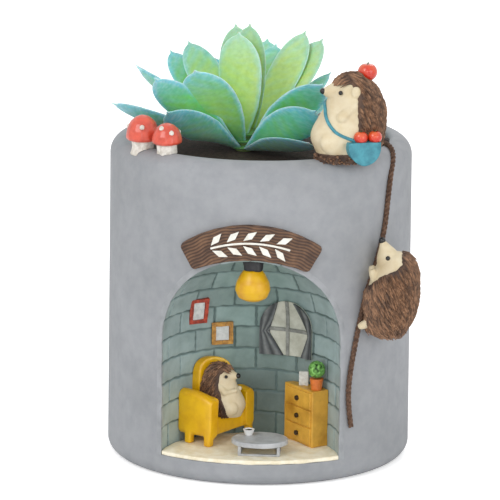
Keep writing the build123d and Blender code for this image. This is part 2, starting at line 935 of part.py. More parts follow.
with BuildPart() as armchair:
    with BuildSketch(chair_plane.offset(chair_under_height)):
        with Locations((0, chair_depth / 2)):
            Rectangle(2 * chair_half_width - chair_arm_width, chair_depth)
    extrude(amount=chair_seat_thickness)
    with BuildSketch(chair_front.offset(chair_arm_reach)) as arm_outline:
        with Locations(
            (chair_arm_width / 2 - chair_half_width, (chair_under_height + chair_arm_height) / 2),
            (chair_half_width - chair_arm_width / 2, (chair_under_height + chair_arm_height) / 2),
        ):
            RectangleRounded(chair_arm_width, chair_arm_height - chair_under_height, chair_arm_round)
    extrude(amount=-chair_depth - chair_arm_reach)
    with BuildSketch(chair_plane):
        leg_x = chair_half_width - chair_leg_size / 2
        with Locations((-leg_x, 0), (leg_x, 0), (-leg_x, chair_depth - 2 * chair_leg_size)):
            Rectangle(chair_leg_size, chair_leg_size)
    extrude(amount=chair_under_height + chair_arm_round)
    add(chair_back.part)
    add(furnishing_space.part, mode=Mode.INTERSECT)
write_piece(armchair.part, "armchair")

# Chest of drawers in the right of the room
chest_angle = math.radians(chest_turn)
chest_plane = Plane(
    alcove_place(chest_bearing, alcove_radius - chest_wall_gap, alcove_floor_height),
    x_dir=(math.cos(chest_angle), math.sin(chest_angle), 0),
    z_dir=(0, 0, 1),
)
chest_front = Plane(chest_plane.origin, x_dir=chest_plane.x_dir, z_dir=-chest_plane.y_dir)
drawer_pitch = (chest_height - 2 * drawer_margin + drawer_gap) / drawer_count
drawer_height = drawer_pitch - drawer_gap
drawer_width = chest_width - 2 * drawer_margin
drawer_heights = [drawer_margin + drawer_height / 2 + step * drawer_pitch for step in range(drawer_count)]

with BuildPart() as chest_carcass:
    with BuildSketch(chest_plane):
        with Locations((0, chest_depth / 2)):
            Rectangle(chest_width, chest_depth)
    extrude(amount=chest_height)
    add(furnishing_space.part, mode=Mode.INTERSECT)
write_piece(chest_carcass.part, "chest_carcass")

with BuildPart() as chest_drawers:
    with BuildSketch(chest_front):
        with Locations(*[(0, height) for height in drawer_heights]):
            Rectangle(drawer_width, drawer_height)
    extrude(amount=drawer_proud)
write_piece(chest_drawers.part, "chest_drawers")

with BuildPart() as chest_knobs:
    with BuildSketch(chest_front.offset(drawer_proud)):
        with Locations(*[(0, height) for height in drawer_heights]):
            RegularPolygon(knob_radius, bead_sides)
    extrude(amount=knob_depth)
write_piece(chest_knobs.part, "chest_knobs")

# On the chest: a leaning book and a potted bush
chest_top = chest_plane.offset(chest_height)
book_angle = math.radians(book_turn)
book_base = Plane(
    chest_top.from_local_coords(Vector(-book_aside, book_behind, 0)),
    x_dir=(math.cos(book_angle), math.sin(book_angle), 0),
    z_dir=(0, 0, 1),
)
book_upright = Plane(book_base.origin, x_dir=book_base.x_dir, z_dir=-book_base.y_dir).rotated((0, 0, -book_lean))
with BuildPart() as book:
    with BuildSketch(book_upright):
        Rectangle(book_width, 2 * book_height)
    extrude(amount=book_thickness)
    with BuildSketch(book_base):
        Rectangle(book_overrun_share * book_height, book_overrun_share * book_height)
    extrude(amount=2 * book_height, mode=Mode.INTERSECT)
    add(furnishing_space.part, mode=Mode.INTERSECT)
write_piece(book.part, "book")

bush_base = Plane(chest_top.from_local_coords(Vector(bush_aside, bush_behind, 0)))
with BuildPart() as bush_pot:
    with BuildSketch(bush_base):
        Circle(bush_pot_base_radius)
    with BuildSketch(bush_base.offset(bush_pot_height)):
        Circle(bush_pot_top_radius)
    loft()
    add(furnishing_space.part, mode=Mode.INTERSECT)
write_piece(bush_pot.part, "bush_pot")

with BuildPart() as bush:
    add(bead(bush_base.offset(bush_pot_height + bush_radius * bush_sunk_share).origin, bush_radius, bead_sides))
    add(bush_pot.part, mode=Mode.SUBTRACT)
    add(furnishing_space.part, mode=Mode.INTERSECT)
write_piece(bush.part, "bush")

# Table in the doorway, on a low frame with four posts
table_plane = Plane((table_x, alcove_y + table_behind_axis, alcove_floor_height))
post_x = table_half_length - table_leg_inset
post_y = table_half_depth - table_leg_inset
with BuildPart() as table_top:
    with BuildSketch(table_plane.offset(table_height - table_thickness)):
        Ellipse(table_half_length, table_half_depth)
    extrude(amount=table_thickness)
write_piece(table_top.part, "table_top")

with BuildPart() as table_legs:
    with BuildSketch(table_plane):
        Rectangle(2 * post_x, 2 * post_y)
        Rectangle(2 * (post_x - table_leg_size), 2 * (post_y - table_leg_size), mode=Mode.SUBTRACT)
    extrude(amount=table_frame_height)
    with BuildSketch(table_plane):
        with GridLocations(2 * post_x - table_leg_size, 2 * post_y - table_leg_size, 2, 2):
            Rectangle(table_leg_size, table_leg_size)
    extrude(amount=table_height - table_thickness)
write_piece(table_legs.part, "table_legs")

with BuildPart() as cup:
    cup_base = table_plane.offset(table_height)
    with BuildSketch(cup_base):
        with Locations((-cup_left, cup_back)):
            Circle(cup_base_radius)
    with BuildSketch(cup_base.offset(cup_height)):
        with Locations((-cup_left, cup_back)):
            Circle(cup_top_radius)
    loft()
    with BuildSketch(cup_base.offset(cup_floor)):
        with Locations((-cup_left, cup_back)):
            Circle(cup_base_radius - cup_wall)
    with BuildSketch(cup_base.offset(cup_height)):
        with Locations((-cup_left, cup_back)):
            Circle(cup_top_radius - cup_wall)
    loft(mode=Mode.SUBTRACT)
write_piece(cup.part, "cup")

# Mushrooms on the rim
mushrooms = [
    (big_cap_bearing, big_cap_inset, big_stem_height, big_cap_radius, big_cap_height, big_spot_places),
    (small_cap_bearing, small_cap_inset, small_stem_height, small_cap_radius, small_cap_height, small_spot_places),
]
with BuildPart() as mushroom_caps:
    for bearing, inset, stem_height, radius, height, spots in mushrooms:
        cap_seat = Plane(pot_place(bearing, pot_top_radius - inset, pot_height + stem_height))
        add(swelling_form(cap_seat, height, radius, cap_level_shares, cap_sides))
write_piece(mushroom_caps.part, "mushroom_caps")

with BuildPart() as mushroom_stems:
    for bearing, inset, stem_height, radius, height, spots in mushrooms:
        stem_foot = Plane(pot_place(bearing, pot_top_radius - inset, pot_height - stem_height))
        add(swelling_form(stem_foot, 2 * stem_height + height / 4, radius, stem_level_shares, stem_sides))
    add(mushroom_caps.part, mode=Mode.SUBTRACT)
    add(pot_envelope.part, mode=Mode.SUBTRACT)
write_piece(mushroom_stems.part, "mushroom_stems")

with BuildPart() as mushroom_spots:
    for bearing, inset, stem_height, radius, height, spots in mushrooms:
        cap_seat = pot_place(bearing, pot_top_radius - inset, pot_height + stem_height)
        for spot_bearing, spot_share in spots:
            lower = max((level for level in cap_level_shares if level[0] <= spot_share), key=lambda level: level[0])
            upper = min((level for level in cap_level_shares if level[0] > spot_share), key=lambda level: level[0])
            mix = (spot_share - lower[0]) / (upper[0] - lower[0])
            reach = radius * (lower[1] + (upper[1] - lower[1]) * mix)
            add(bead(cap_seat + pot_place(spot_bearing, reach, height * spot_share), spot_radius, small_bead_sides))
    add(mushroom_caps.part, mode=Mode.SUBTRACT)
write_piece(mushroom_spots.part, "mushroom_spots")


# Hedgehogs: a cream body and a proud coat of quills, split by the coat's outline
def figure_pieces(plane, size, level_shares, coat_shares, snout_plane, snout_shares, extras, cutters):
    coat_side = figure_prism(plane, size, coat_shares)
    with BuildPart() as body:
        add(swelling_form(plane, size, size, level_shares, figure_sides))
        add(coat_side, mode=Mode.SUBTRACT)
        add(swelling_form(snout_plane, size, size, snout_shares, figure_sides))
        for extra in extras:
            add(extra)
        for cutter in cutters:
            add(cutter, mode=Mode.SUBTRACT)
    with BuildPart() as coat:
        add(swelling_form(plane, size, size, swollen(level_shares, coat_thickness / size), figure_sides))
        add(coat_side, mode=Mode.INTERSECT)
        add(body.part, mode=Mode.SUBTRACT)
        for cutter in cutters:
            add(cutter, mode=Mode.SUBTRACT)
    return body.part, coat.part


def face_beads(plane, size, level_shares, eye_share, nose_place, body, coat, eye_turns):
    with BuildPart() as face:
        for turn in eye_turns:
            add(bead(surface_place(plane, size, level_shares, eye_share, turn), eye_radius, small_bead_sides))
        add(bead(nose_place, nose_radius, small_bead_sides))
        add(body, mode=Mode.SUBTRACT)
        add(coat, mode=Mode.SUBTRACT)
    return face.part


def facing_plane(origin, turn):
    angle = math.radians(turn)
    return Plane(origin, x_dir=(math.cos(angle), math.sin(angle), 0), z_dir=(0, 0, 1))


# Hedgehog on the rim, on a mound of its own quills
rim_plane = facing_plane(
    pot_place(rim_figure_bearing, pot_top_radius - rim_figure_inset, pot_height + rim_figure_rise),
    rim_figure_turn,
)
rim_snout_plane = Plane(
    rim_plane.from_local_coords(Vector(0, 0, rim_figure_height * snout_height_share)),
    x_dir=rim_plane.z_dir,
    z_dir=rim_plane.x_dir,
)
with BuildPart() as rim_pad:
    with BuildSketch(rim_plane.offset(-rim_figure_rise - rim_pad_drop)):
        with BuildLine():
            Polyline(
                *[
                    oval_point(rim_pad_front, rim_pad_back, rim_pad_side, 2 * math.pi * step / figure_sides)
                    for step in range(figure_sides)
                ],
                close=True,
            )
        make_face()
    extrude(amount=rim_pad_height, taper=rim_pad_taper)
    add(pot_envelope.part, mode=Mode.SUBTRACT)

rim_ears = [
    bead(
        surface_place(rim_plane, rim_figure_height, sitting_level_shares, ear_height_share, side * ear_turn),
        ear_radius,
        bead_sides,
    )
    for side in (1, -1)
]
rim_body, rim_coat = figure_pieces(
    rim_plane,
    rim_figure_height,
    sitting_level_shares,
    sitting_coat_shares,
    rim_snout_plane,
    snout_level_shares,
    rim_ears,
    [rim_pad.part, pot_envelope.part],
)
with BuildPart() as rim_quills:
    add(rim_coat)
    add(rim_pad.part)
write_piece(rim_body, "rim_hedgehog_body")
write_piece(rim_quills.part, "rim_hedgehog_quills")
rim_nose_place = rim_plane.from_local_coords(
    Vector(rim_figure_height * snout_level_shares[-1][0], 0, rim_figure_height * snout_height_share)
)
rim_face = face_beads(
    rim_plane, rim_figure_height, sitting_level_shares, eye_height_share, rim_nose_place, rim_body, rim_quills.part, (eye_turn, -eye_turn)
)
write_piece(rim_face, "rim_hedgehog_face")

# Satchel at the hedgehog's side, with two apples and a strap round the neck
satchel_place = rim_plane.from_local_coords(
    Vector(-satchel_behind, satchel_aside - satchel_thickness / 2, satchel_height - satchel_hang - rim_figure_rise)
)
satchel_plane = Plane(satchel_place, x_dir=-rim_plane.x_dir, z_dir=rim_plane.y_dir)
with BuildPart() as satchel:
    with BuildSketch(satchel_plane) as satchel_outline:
        with BuildLine():
            Line((-satchel_width / 2, 0), (satchel_width / 2, 0))
            ThreePointArc(
                (satchel_width / 2, 0),
                (satchel_width * satchel_low_width_share, -satchel_height * satchel_low_height_share),
                (0, -satchel_height),
            )
            ThreePointArc(
                (0, -satchel_height),
                (-satchel_width * satchel_low_width_share, -satchel_height * satchel_low_height_share),
                (-satchel_width / 2, 0),
            )
        make_face()
    extrude(amount=satchel_thickness)
    add(rim_quills.part, mode=Mode.SUBTRACT)
    add(rim_body, mode=Mode.SUBTRACT)
    add(pot_envelope.part, mode=Mode.SUBTRACT)
write_piece(satchel.part, "satchel")

with BuildPart() as satchel_apples:
    for side in (1, -1):
        apple_place = satchel_plane.from_local_coords(
            Vector(satchel_apple_shift + side * satchel_apple_radius * satchel_apple_gap_share, satchel_apple_rise, satchel_thickness / 2)
        )
        add(bead(apple_place, satchel_apple_radius, bead_sides))
    add(satchel.part, mode=Mode.SUBTRACT)
    add(rim_quills.part, mode=Mode.SUBTRACT)
    add(rim_body, mode=Mode.SUBTRACT)
write_piece(satchel_apples.part, "satchel_apples")

strap_points = [
    surface_place(rim_plane, rim_figure_height, sitting_level_shares, height_share, turn)
    for height_share, turn in strap_route_shares
]
strap_rings = []
for step, point in enumerate(strap_points):
    before = strap_points[max(step - 1, 0)]
    after = strap_points[min(step + 1, len(strap_points) - 1)]
    core = rim_plane.from_local_coords(Vector(0, 0, rim_plane.to_local_coords(point).Z))
    section = Plane(point, x_dir=point - core, z_dir=after - before)
    outline = [
        (-strap_thickness, -strap_width / 2),
        (strap_thickness, -strap_width / 2),
        (strap_thickness, strap_width / 2),
        (-strap_thickness, strap_width / 2),
    ]
    strap_rings.append([section.from_local_coords(Vector(x, y, 0)) for x, y in outline])
with BuildPart() as satchel_strap:
    add(ringed_solid(strap_rings))
    add(rim_body, mode=Mode.SUBTRACT)
    add(rim_quills.part, mode=Mode.SUBTRACT)
    add(satchel.part, mode=Mode.SUBTRACT)
    add(satchel_apples.part, mode=Mode.SUBTRACT)
write_piece(satchel_strap.part.solids().sort_by(SortBy.VOLUME)[-1], "satchel_strap")

with BuildPart() as head_apple:
    add(bead(rim_plane.from_local_coords(Vector(-head_apple_behind, 0, head_apple_rise)), head_apple_radius, bead_sides))
    add(rim_quills.part, mode=Mode.SUBTRACT)
write_piece(head_apple.part, "head_apple")

# Rope cast on the pot: over the rounded rim, then down the wall in a slow curve
rope_seat = rope_radius - rope_grip
rope_points = []
for bearing, turn in rope_rim_places:
    lift = math.radians(turn)
    radius = pot_top_radius - shoulder_radius + (shoulder_radius + rope_seat) * math.cos(lift)
    height = pot_height - shoulder_radius + (shoulder_radius + rope_seat) * math.sin(lift)
    rope_points.append(pot_place(bearing, radius, height))
for bearing, share in rope_wall_share_places:
    height = share * pot_height
    rope_points.append(pot_place(bearing, wall_radius(height) + rope_seat, height))
rope_radii = []
for before, corner, after in zip(rope_points, rope_points[1:], rope_points[2:]):
    turned = (corner - before).get_angle(after - corner)
    shorter = min((corner - before).length, (after - corner).length)
    rope_radii.append(rope_bend_share * shorter / math.tan(math.radians(turned) / 2))
print("rope bends", [round(radius, 1) for radius in rope_radii])
with BuildPart() as rope:
    with BuildLine() as rope_path:
        FilletPolyline(*rope_points, radius=rope_radii)
    rope_line = rope_path.wire()
    with BuildSketch(Plane(rope_line @ 0, z_dir=rope_line % 0)):
        RegularPolygon(rope_radius, bead_sides)
    sweep(path=rope_line)
    rope_length = rope_line.length
    print("rope length", round(rope_length, 1))
    rope_section = bead_sides / 2 * rope_radius**2 * math.sin(2 * math.pi / bead_sides)
    print("rope volume over section times length", round(rope.part.volume / (rope_section * rope_length), 4))
    add(pot_envelope.part, mode=Mode.SUBTRACT)
write_piece(rope.part, "rope")

with BuildPart() as rope_knot:
    add(bead(rope_points[0], knot_radius, bead_sides))
    add(pot_envelope.part, mode=Mode.SUBTRACT)
    add(rope.part, mode=Mode.SUBTRACT)
    add(rim_quills.part, mode=Mode.SUBTRACT)
write_piece(rope_knot.part, "rope_knot")

# Climbing hedgehog, its side on the wall and its belly to the rope
climber_plane = facing_plane(
    pot_place(climber_bearing, wall_radius(climber_foot_height) + climber_from_wall, climber_foot_height),
    climber_turn,
)
climber_snout_angle = math.radians(climbing_head_turn)
climber_snout_direction = climber_plane.x_dir * math.cos(climber_snout_angle) + climber_plane.z_dir * math.sin(
    climber_snout_angle
)
climber_snout_plane = Plane(
    climber_plane.from_local_coords(
        Vector(-climber_height * climbing_head_behind_share, 0, climber_height * climbing_head_rise_share)
    ),
    x_dir=climber_plane.y_dir,
    z_dir=climber_snout_direction,
)


def limb(root, direction, length):
    return swelling_form(Plane(root, z_dir=direction), length, limb_radius, limb_level_shares, bead_sides)


climber_limbs = []
hand_direction = climber_plane.x_dir + climber_plane.z_dir * hand_rise_share
foot_direction = climber_plane.x_dir - climber_plane.z_dir * foot_drop_share
for side in (1, -1):
    hand_root = surface_place(
        climber_plane, climber_height, climbing_level_shares, hand_height_share, side * hand_turn
    )
    climber_limbs.append(limb(hand_root - climber_plane.x_dir * limb_radius, hand_direction, hand_length))
    foot_root = surface_place(
        climber_plane, climber_height, climbing_level_shares, foot_height_share, side * foot_turn
    )
    climber_limbs.append(limb(foot_root - climber_plane.x_dir * 2 * limb_radius, foot_direction, foot_length))

climber_body, climber_coat = figure_pieces(
    climber_plane,
    climber_height,
    climbing_level_shares,
    climbing_coat_shares,
    climber_snout_plane,
    climbing_head_shares,
    climber_limbs,
    [pot_envelope.part, rope.part],
)
write_piece(climber_body, "climber_body")
write_piece(climber_coat, "climber_quills")
climber_nose_place = climber_snout_plane.from_local_coords(
    Vector(0, 0, climber_height * climbing_head_shares[-1][0])
)
climber_face = face_beads(
    climber_snout_plane,
    climber_height,
    climbing_head_shares,
    climbing_eye_share,
    climber_nose_place,
    climber_body,
    climber_coat,
    (0, 180),
)
with BuildPart() as climber_features:
    add(climber_face)
    add(pot_envelope.part, mode=Mode.SUBTRACT)
write_piece(climber_features.part, "climber_face")

# Hedgehog in the armchair
sitter_plane = facing_plane(
    chair_plane.from_local_coords(Vector(sitter_aside, sitter_behind, chair_seat_height - sitter_sink)),
    sitter_turn,
)
sitter_snout_plane = Plane(
    sitter_plane.from_local_coords(Vector(0, 0, sitter_height * snout_height_share)),
    x_dir=sitter_plane.z_dir,
    z_dir=sitter_plane.x_dir,
)
sitter_body, sitter_coat = figure_pieces(
    sitter_plane,
    sitter_height,
    sitting_level_shares,
    lounging_coat_shares,
    sitter_snout_plane,
    snout_level_shares,
    [],
    [armchair.part, outside_room.part],
)
sitter_body = sitter_body.solids().sort_by(SortBy.VOLUME)[-1]
sitter_coat = sitter_coat.solids().sort_by(SortBy.VOLUME)[-1]
write_piece(sitter_body, "sitter_body")
write_piece(sitter_coat, "sitter_quills")
sitter_nose_place = sitter_plane.from_local_coords(
    Vector(sitter_height * snout_level_shares[-1][0], 0, sitter_height * snout_height_share)
)
sitter_face = face_beads(
    sitter_plane, sitter_height, sitting_level_shares, eye_height_share, sitter_nose_place, sitter_body, sitter_coat, (eye_turn, -eye_turn)
)
write_piece(sitter_face, "sitter_face")

# Soil with a hole for the plant's stem, and gravel round it
with BuildPart() as soil_fill:
    add(cavity_space.part)
    with BuildSketch(Plane.XY.offset(soil_height)):
        Circle(pot_base_radius)
    extrude(amount=pot_height, mode=Mode.SUBTRACT)
    with BuildSketch(Plane.XY.offset(soil_height)):
        with Locations((plant_x, plant_y)):
            Circle(stem_radius + stem_clearance)
    extrude(amount=-stem_sink - stem_clearance, mode=Mode.SUBTRACT)
write_piece(soil_fill.part, "soil_fill")

with BuildPart() as gravel:
    for step in range(stone_count):
        stone_turn = 360 * step / stone_count
        stone_size = stone_half_length * (1 - stone_size_share + stone_size_share * math.sin(5 * step))
        stone_radius = rim_inner_radius - stone_ring_inset + stone_shift_share * stone_half_length * math.cos(3 * step)
        stone_place = pot_place(stone_turn, stone_radius, soil_height)
        stone_plane = facing_plane(stone_place, stone_turn + stone_swing * math.sin(2 * step))
        add(swelling_form(stone_plane, stone_height, stone_size, stone_level_shares, stone_sides))
write_piece(gravel.part, "gravel")

# Succulent: whorls of leaves threaded on a stem
hub_pitch = hub_height + hub_gap
stem_top_height = soil_height + stem_clearance + len(leaf_places) * hub_pitch
with BuildPart() as plant_stem:
    with BuildSketch(Plane.XY.offset(soil_height - stem_sink)):
        with Locations((plant_x, plant_y)):
            Circle(stem_radius)
    extrude(amount=stem_top_height - soil_height + stem_sink)
write_piece(plant_stem.part, "plant_stem")


def leaf(bearing, reach, rise, half_width, roll, root_height):
    turn = math.radians(bearing)
    outward = Vector(math.sin(turn), -math.cos(turn), 0)
    upward = Vector(0, 0, 1)
    sideways = upward.cross(outward)
    tip_reach = reach - leaf_root_radius
    tip_rise = soil_height + rise - root_height
    root = Vector(plant_x, plant_y, root_height) + outward * leaf_root_radius
    bend = outward * (tip_reach * leaf_bend_out_share) + upward * (tip_rise * leaf_bend_up_share)
    tip = outward * tip_reach + upward * tip_rise
    rings = []
    for along, width_share, thick_share in leaf_section_shares:
        place = root + bend * (2 * along * (1 - along)) + tip * along**2
        course = bend * (2 - 4 * along) + tip * (2 * along)
        half = half_width * width_share
        thick = leaf_thickness * thick_share
        rolled = math.radians(roll) * min(1, along / leaf_roll_start_share)
        across = sideways * math.cos(rolled) + course.normalized().cross(sideways) * math.sin(rolled)
        section = Plane(place, x_dir=across, z_dir=course)
        outline = [
            (-half, 0),
            (-half * leaf_keel_share, -thick * leaf_under_share),
            (half * leaf_keel_share, -thick * leaf_under_share),
            (half, 0),
            (half * leaf_keel_share, thick * leaf_top_share),
            (-half * leaf_keel_share, thick * leaf_top_share),
        ]
        rings.append([section.from_local_coords(Vector(x, y, 0)) for x, y in outline])
    return ringed_solid(rings)


leaf_whorls = []
for whorl, places in enumerate(leaf_places):
    hub_bottom = soil_height + stem_clearance + whorl * hub_pitch
    with BuildPart() as leaf_whorl:
        with BuildSketch(Plane.XY.offset(hub_bottom)):
            with Locations((plant_x, plant_y)):
                Circle(hub_radius)
        extrude(amount=hub_height)
        for step, (bearing, reach, rise, half_width, roll) in enumerate(places):
            # Roots stand a little apart in the hub, the flattest leaf lowest
            root_share = leaf_low_root_share + leaf_root_spread_share * step / (len(places) - 1)
            add(leaf(bearing, reach, rise, half_width, roll, hub_bottom + hub_height * root_share))
        add(plant_stem.part, mode=Mode.SUBTRACT)
        for lower_whorl in leaf_whorls:
            add(lower_whorl, mode=Mode.SUBTRACT)
    leaf_whorls.append(leaf_whorl.part.solids().sort_by(SortBy.VOLUME)[-1])
    write_piece(leaf_whorls[-1], "leaf_whorl_" + str(whorl + 1))
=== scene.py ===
import bpy
import bmesh
import random
import numpy as np
from math import acos, atan2, copysign, cos, exp, floor, hypot, pi, radians, sin, sqrt, tau
from mathutils import Vector, Matrix


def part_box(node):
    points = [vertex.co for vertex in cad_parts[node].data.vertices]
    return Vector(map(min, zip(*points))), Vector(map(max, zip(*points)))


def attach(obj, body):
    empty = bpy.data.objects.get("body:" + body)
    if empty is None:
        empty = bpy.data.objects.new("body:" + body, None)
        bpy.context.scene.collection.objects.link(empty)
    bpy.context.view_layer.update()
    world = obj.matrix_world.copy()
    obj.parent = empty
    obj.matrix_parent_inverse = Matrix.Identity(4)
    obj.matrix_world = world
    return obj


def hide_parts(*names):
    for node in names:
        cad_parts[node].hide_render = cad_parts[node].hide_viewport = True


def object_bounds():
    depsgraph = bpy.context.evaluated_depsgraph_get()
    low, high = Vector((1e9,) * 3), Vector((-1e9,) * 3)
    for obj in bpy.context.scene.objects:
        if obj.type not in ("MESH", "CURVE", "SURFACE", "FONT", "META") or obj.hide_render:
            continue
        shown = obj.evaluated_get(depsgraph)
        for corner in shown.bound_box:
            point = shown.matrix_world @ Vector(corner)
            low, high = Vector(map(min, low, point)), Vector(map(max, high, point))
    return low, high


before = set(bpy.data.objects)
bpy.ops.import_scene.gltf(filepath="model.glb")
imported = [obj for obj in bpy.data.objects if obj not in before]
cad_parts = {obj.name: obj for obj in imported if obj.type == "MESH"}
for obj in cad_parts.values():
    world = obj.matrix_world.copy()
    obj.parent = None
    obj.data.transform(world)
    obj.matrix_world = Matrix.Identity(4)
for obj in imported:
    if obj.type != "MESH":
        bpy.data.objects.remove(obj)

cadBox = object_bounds()
mm = 0.001
wave = 6.28  # a turn, near enough for ripples and folds
dice = random.Random(7)
print("stage: frame loaded")


def paint(red, green, blue):
    # colours are written as they look, 0 to 255
    out = []
    for value in (red, green, blue):
        value = value / 255
        out.append(value / 12.92 if value <= 0.04045 else ((value + 0.055) / 1.055) ** 2.4)
    return (*out, 1.0)


def tone(colour):
    return np.array(paint(*colour)[:3])


def held(value):
    return min(1, max(0, value))


def blend(first, second, share):
    return first * (1 - share) + second * share


def inScene(name, data):
    thing = bpy.data.objects.new(name, data)
    bpy.context.scene.collection.objects.link(thing)
    return thing


def setInputs(tree, node, inputs):
    # each input takes a value, or the output that feeds it
    for key, value in inputs.items():
        if isinstance(value, bpy.types.NodeSocket):
            tree.links.new(value, node.inputs[key])
        else:
            node.inputs[key].default_value = value


def addNode(tree, kind, inputs=None, **settings):
    # a shader node; what comes back is its outputs
    node = tree.nodes.new("ShaderNode" + kind)
    for key, value in settings.items():
        setattr(node, key, value)
    setInputs(tree, node, inputs or {})
    return node.outputs


def newMaterial(name):
    material = bpy.data.materials.new(name)
    material.use_nodes = True
    return material.node_tree, material.node_tree.nodes["Principled BSDF"]


# camera at the photograph's angle
photoView = {
    "azimuth": 3.553, "elevation": 12.799, "roll": 0.664, "distance": 1.427064,
    "aimHeight": 0.074114, "lens": 281.38, "sensor": 36, "shiftX": -0.0201,
    "nearest": 0.05, "farthest": 20,
}


def makeCamera(azimuth, elevation, roll, distance, aimHeight, lens, sensor, shiftX, nearest,
               farthest):
    around, up, roll = radians(azimuth), radians(elevation), radians(roll)
    away = Vector((cos(up) * sin(around), -cos(up) * cos(around), sin(up)))
    right = Vector((cos(around), sin(around), 0))
    upward = away.cross(right)
    rolledRight = right * cos(roll) + upward * sin(roll)
    rolledUp = upward * cos(roll) - right * sin(roll)
    data = bpy.data.cameras.new("photoCamera")
    data.lens = lens
    data.sensor_width = sensor
    data.shift_x = shiftX
    data.clip_start = nearest
    data.clip_end = farthest
    camera = inScene("photoCamera", data)
    place = Vector((0, 0, aimHeight)) + away * distance
    turn = Matrix((rolledRight, rolledUp, away)).transposed().to_4x4()
    camera.matrix_world = Matrix.Translation(place) @ turn
    bpy.context.scene.camera = camera


makeCamera(**photoView)

# soft studio light and a pale floor
studio = {
    # place, aim, size and power
    "lamps": {
        "keyLamp": ((-0.55, -0.75, 0.75), (0, 0, 0.07), 0.5, 2.9),
        "fillLamp": ((0.75, -0.7, 0.35), (0, 0, 0.07), 0.6, 1.9),
        "frontLamp": ((0.05, -1.3, 0.42), (0, 0, 0.05), 0.35, 1.2),
        "rimLamp": ((0.2, 0.8, 0.8), (0, 0, 0.09), 0.5, 1.5),
    },
    "worldStrength": 0.8,
    "floorColour": (252, 252, 252), "floorRough": 0.9, "floorGlow": 0.42, "floorReach": 3,
}


def makeStudio(lamps, worldStrength, floorColour, floorRough, floorGlow, floorReach):
    for name, (place, aim, size, power) in lamps.items():
        data = bpy.data.lights.new(name, "AREA")
        data.shape = "DISK"
        data.size = size
        data.energy = power
        lamp = inScene(name, data)
        lamp.location = place
        lamp.rotation_euler = (Vector(aim) - Vector(place)).to_track_quat("-Z", "Y").to_euler()

    white = (1, 1, 1, 1)
    world = bpy.data.worlds.new("studioWorld")
    world.use_nodes = True
    tree = world.node_tree
    tree.nodes.clear()
    soft = addNode(tree, "Background", {"Color": white, "Strength": worldStrength})[0]
    seen = addNode(tree, "Background", {"Color": white, "Strength": 1.0})[0]
    path = addNode(tree, "LightPath")
    straight = addNode(tree, "Math", {0: path["Is Camera Ray"], 1: path["Is Glossy Ray"]},
                       operation="MAXIMUM")[0]
    pick = addNode(tree, "MixShader", {0: straight, 1: soft, 2: seen})[0]
    addNode(tree, "OutputWorld", {"Surface": pick})
    bpy.context.scene.world = world

    mesh = bpy.data.meshes.new("paleFloor")
    low, far = cadBox[0][2], floorReach
    corners = [(-far, -far, low), (far, -far, low), (far, far, low), (-far, far, low)]
    mesh.from_pydata(corners, [], [(0, 1, 2, 3)])
    tree, shader = newMaterial("paleFloorPaper")
    # the eye sees the paper a little lighter than it lights the pot
    eye = addNode(tree, "LightPath")["Is Camera Ray"]
    glow = addNode(tree, "Math", {0: eye, 1: floorGlow}, operation="MULTIPLY")[0]
    setInputs(tree, shader, {"Base Color": paint(*floorColour), "Roughness": floorRough,
                             "Emission Color": white, "Emission Strength": glow})
    mesh.materials.append(bpy.data.materials["paleFloorPaper"])
    inScene("paleFloor", mesh)


makeStudio(**studio)
bpy.context.scene.view_settings.view_transform = "Standard"
print("stage: camera and light")


# shader node groups
def groupTree(name, inputs, output, kind):
    tree = bpy.data.node_groups.new(name, "ShaderNodeTree")
    for label, value in inputs.items():
        inputKind = "NodeSocketColor" if isinstance(value, tuple) else "NodeSocketFloat"
        socket = tree.interface.new_socket(name=label, in_out="INPUT", socket_type=inputKind)
        socket.default_value = value
    tree.interface.new_socket(name=output, in_out="OUTPUT", socket_type=kind)
    source, result = tree.nodes.new("NodeGroupInput"), tree.nodes.new("NodeGroupOutput")
    return tree, source.outputs, result.inputs


def makeUnevenPaint():
    # paint that is thinner and darker in soft patches
    plain = (0.8, 0.8, 0.8, 1)
    values = {"Colour": plain, "Shade": plain, "Scale": 100.0, "Amount": 0.5}
    tree, source, result = groupTree("unevenPaint", values, "Colour", "NodeSocketColor")
    where = addNode(tree, "TexCoord")["Object"]
    patches = addNode(tree, "TexNoise", {"Vector": where, "Scale": source["Scale"],
                                         "Detail": 5.0, "Roughness": 0.6})["Fac"]
    spread = addNode(tree, "MapRange", {"Value": patches, "From Min": 0.38, "From Max": 0.66})[0]
    share = addNode(tree, "Math", {0: spread, 1: source["Amount"]}, operation="MULTIPLY")[0]
    darker = addNode(tree, "Mix", {0: share, 6: source["Colour"], 7: source["Shade"]},
                     data_type="RGBA", blend_type="MULTIPLY")[2]
    tree.links.new(darker, result["Colour"])
    return tree


def makeCastGrain():
    # the fine unevenness of a casting's skin, as a normal
    values = {"Scale": 800.0, "Strength": 0.2, "Depth": 0.0002}
    tree, source, result = groupTree("castGrain", values, "Normal", "NodeSocketVector")
    where = addNode(tree, "TexCoord")["Object"]
    grain = addNode(tree, "TexNoise", {"Vector": where, "Scale": source["Scale"], "Detail": 4.0})
    bump = addNode(tree, "Bump", {"Height": grain["Fac"], "Strength": source["Strength"],
                                  "Distance": source["Depth"]})["Normal"]
    tree.links.new(bump, result["Normal"])
    return tree


unevenPaint = makeUnevenPaint()
castGrain = makeCastGrain()


